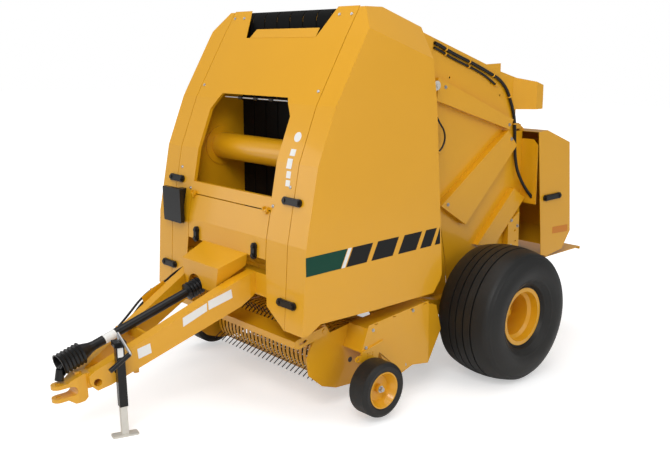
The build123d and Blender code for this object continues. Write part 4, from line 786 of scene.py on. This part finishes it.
class BALER_OT_trim(Step, bpy.types.Operator):
    """Adds the crank's grip, window's rod, driveline's band, valve stems, hub nuts and roller bands"""
    bl_idname = "baler.trim"
    bl_label = "Trim"

    def execute(self, context):
        def bar(name, start, end, radius, body, material, slot):
            piece(name, tube_mesh(name, start, end, radius), body, material, smooth=35)

        bar("crank_grip", *CRANK_GRIP, "jack_tube", "moulded_black", "black_plastic")
        half, y, z, radius = WINDOW_ROD
        bar("window_rod", (-half, y, z), (half, y, z), radius, "frame", "plated_steel", "bright_steel")
        half, radius = WINDOW_BUSH
        for x in WINDOW_BUSH_X:
            bar(f"window_bush{x - WINDOW_BUSH_X[0]}", (x - half, y, z), (x + half, y, z), radius, "frame",
                "moulded_black", "black_plastic")
        (inner_x, *inner), (outer_x, *outer), stem = VALVE_STEM
        for side, label in SIDES:
            face = side * HALF_TRACK
            bar(f"valve_{label}", (face + side * inner_x, *inner), (face + side * outer_x, *outer), stem,
                f"main_wheel_{label}", "plated_steel", "bright_steel")
            low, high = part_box(f"gauge_rim_{label}")
            hub = HALF_METRE * (low[0] + high[0]) + side * GAUGE_HUB_REACH
            for part, start, end, radius in HUB_PARTS:
                bar(f"hub_{part}_{label}", (hub + side * start, *GAUGE_CENTRE),
                    (hub + side * end, *GAUGE_CENTRE), radius, "pickup", "plated_steel", "bright_steel")
        rear, front = Vector(SHAFT_REAR), Vector(SHAFT_FRONT)
        along = (front - rear).normalized()
        start, end = SHAFT_BAND
        bar("shaft_band", front - along * start, front - along * end, SHAFT_RADIUS + SHAFT_BAND_RISE, "frame",
            "label_white", "black_plastic")
        half, rise = ROLLER_BAND
        for index in range(ROLLER_BANDS):
            middle = (index - ROLLER_BANDS // 2) * BELT_PITCH
            bar(f"roller_band{index}", (middle - half, *TOP_ROLLER), (middle + half, *TOP_ROLLER),
                ROLLER_RADIUS + rise, "frame", "amber_enamel", "amber_paint")
        return {"FINISHED"}


class BALER_OT_lip(Step, bpy.types.Operator):
    """Adds the lip leaning back from the front sheet's top edge, and painted shade on the net cover"""
    bl_idname = "baler.lip"
    bl_label = "Lip and painted shade"

    def execute(self, context):
        left, right, rise = HEAD_LIP
        left_cut, right_cut = HEAD_LIP_CUT
        back, lift = HEAD_LIP_SEAT
        bm = bmesh.new()
        plate(bm, [(left, 0), (right, 0), (right - right_cut, rise), (left + left_cut, rise)],
              (0, front_y(PANEL_TOP_Z) + back, PANEL_TOP_Z + lift), (1, 0, 0), HEAD_LIP_UP, HEAD_LIP_SHEET)
        piece("head_lip", to_mesh("head_lip", bm), "frame", "amber_enamel")
        # A band of painted shade in deeper orange on the net cover's side
        film("net_painted_shade", NET_SHADE_BAND, (NET_COVER_X + FILM_LIFT, 0, 0), (0, 1, 0), (0, 0, 1), "net_cover",
             "mark_orange")
        return {"FINISHED"}


class BALER_OT_bolts(Step, bpy.types.Operator):
    """Puts the bolt heads where the sheets are fastened"""
    bl_idname = "baler.bolts"
    bl_label = "Bolt heads"

    def execute(self, context):
        panel = [((side * x, front_y(z) - PANEL_BOLT_LIFT, z), (0, -1, 0))
                 for side in (-1, 1) for x, z in PANEL_BOLTS]
        bolts("panel_bolts", "frame", panel, PANEL_BOLT)
        guard = [((side * x, y, z), (side, 0, 0)) for side in (-1, 1) for x, y, z in GUARD_BOLTS]
        bolts("guard_bolts", "pickup", guard, GUARD_BOLT)
        ribs = [((side * RIB_BOLT_X, y, z), (side, 0, 0)) for side in (-1, 1) for y, z in RIB_BOLTS]
        bolts("rib_bolts", "tailgate", ribs, RIB_BOLT)
        count, radius, inset = WHEEL_BOLTS
        turns = [2 * math.pi * step / count for step in range(count)]
        for side, label in SIDES:
            x = side * (HALF_TRACK - inset)
            ring = [((x, radius * math.cos(turn), TYRE_RADIUS + radius * math.sin(turn)), (side, 0, 0))
                    for turn in turns]
            bolts(f"wheel_bolts_{label}", f"main_wheel_{label}", ring, WHEEL_BOLT)
        return {"FINISHED"}


class BALER_OT_stage(Step, bpy.types.Operator):
    """Lays the pale floor, hangs the lamps and sets the camera"""
    bl_idname = "baler.stage"
    bl_label = "Stage"

    def execute(self, context):
        scene = context.scene
        scene.view_settings.view_transform = "Standard"
        data = bpy.data.meshes.new("floor")
        half = FLOOR_HALF
        corners = [(-half, -half, 0), (half, -half, 0), (half, half, 0), (-half, half, 0)]
        data.from_pydata(corners, [], [(0, 1, 2, 3)])
        floor = bpy.data.objects.new("floor", data)
        scene.collection.objects.link(floor)
        material = bpy.data.materials.new("floor_white")
        material.use_nodes = True
        tree = material.node_tree
        shader = tree.nodes["Principled BSDF"]
        shader.inputs["Base Color"].default_value = (0.85, 0.85, 0.85, 1)
        shader.inputs["Roughness"].default_value = 0.9
        shader.inputs["Specular IOR Level"].default_value = 0.1
        shader.inputs["Emission Color"].default_value = (1, 1, 1, 1)
        path = node(tree, "ShaderNodeLightPath")
        lifted = node(tree, "ShaderNodeMath", operation="MULTIPLY")
        place = node(tree, "ShaderNodeTexCoord")
        away = node(tree, "ShaderNodeVectorMath", operation="LENGTH")
        glow = node(tree, "ShaderNodeMapRange")
        glow.inputs["From Min"].default_value, glow.inputs["From Max"].default_value = GLOW_REACH
        glow.inputs["To Min"].default_value, glow.inputs["To Max"].default_value = GLOW
        tree.links.new(place.outputs["Object"], away.inputs[0])
        tree.links.new(away.outputs["Value"], glow.inputs["Value"])
        tree.links.new(glow.outputs[0], lifted.inputs[1])
        tree.links.new(path.outputs["Is Camera Ray"], lifted.inputs[0])
        tree.links.new(lifted.outputs[0], shader.inputs["Emission Strength"])
        data.materials.append(material)
        world = bpy.data.worlds.new("studio")
        scene.world = world
        world.use_nodes = True
        tree = world.node_tree
        sky = tree.nodes["Background"]
        path = node(tree, "ShaderNodeLightPath")
        mirrored = node(tree, "ShaderNodeMapRange")
        tree.links.new(path.outputs["Is Glossy Ray"], mirrored.inputs["Value"])
        mirrored.inputs["To Min"].default_value = SKY_LIGHT
        mirrored.inputs["To Max"].default_value = SKY_MIRRORED
        seen = node(tree, "ShaderNodeMath", operation="MAXIMUM")
        tree.links.new(path.outputs["Is Camera Ray"], seen.inputs[0])
        tree.links.new(mirrored.outputs[0], seen.inputs[1])
        tree.links.new(seen.outputs[0], sky.inputs["Strength"])
        sky.inputs["Color"].default_value = (1, 1, 1, 1)
        for name, place, aim, size, power in LAMPS:
            lamp = bpy.data.lights.new(name, "AREA")
            lamp.size = size
            lamp.energy = power
            hung = bpy.data.objects.new(name, lamp)
            hung.location = place
            hung.rotation_euler = (Vector(aim) - Vector(place)).to_track_quat("-Z", "Y").to_euler()
            scene.collection.objects.link(hung)
        lens = bpy.data.cameras.new("camera")
        lens.lens = CAMERA_LENS
        lens.sensor_width = CAMERA_SENSOR
        camera = bpy.data.objects.new("camera", lens)
        camera.location = CAMERA_PLACE
        camera.rotation_euler = [math.radians(angle) for angle in CAMERA_TURN]
        scene.collection.objects.link(camera)
        scene.camera = camera
        return {"FINISHED"}


STEPS = (BALER_OT_finishes, BALER_OT_paint, BALER_OT_stripes, BALER_OT_latches, BALER_OT_plates,
         BALER_OT_tyres, BALER_OT_trim, BALER_OT_lip, BALER_OT_bolts, BALER_OT_stage)


class BALER_PT_panel(bpy.types.Panel):
    """The steps of the finish, in order"""
    bl_label = "Baler"
    bl_idname = "BALER_PT_panel"
    bl_space_type = "VIEW_3D"
    bl_region_type = "UI"
    bl_category = "Baler"

    def draw(self, context):
        for group in (paint_of(context), sizes_of(context)):
            for key in group.__annotations__:
                self.layout.prop(group, key)
        for step in STEPS:
            self.layout.operator(step.bl_idname)


CLASSES = (BalerPaint, BalerSizes) + STEPS + (BALER_PT_panel,)


def register():
    for each in CLASSES:
        bpy.utils.register_class(each)
    bpy.types.Scene.baler_paint = bpy.props.PointerProperty(type=BalerPaint)
    bpy.types.Scene.baler_sizes = bpy.props.PointerProperty(type=BalerSizes)


def unregister():
    del bpy.types.Scene.baler_sizes
    del bpy.types.Scene.baler_paint
    for each in reversed(CLASSES):
        bpy.utils.unregister_class(each)


def main():
    register()
    for step in STEPS:
        family, action = step.bl_idname.split(".")
        getattr(getattr(bpy.ops, family), action)()


if __name__ == "__main__":
    main()
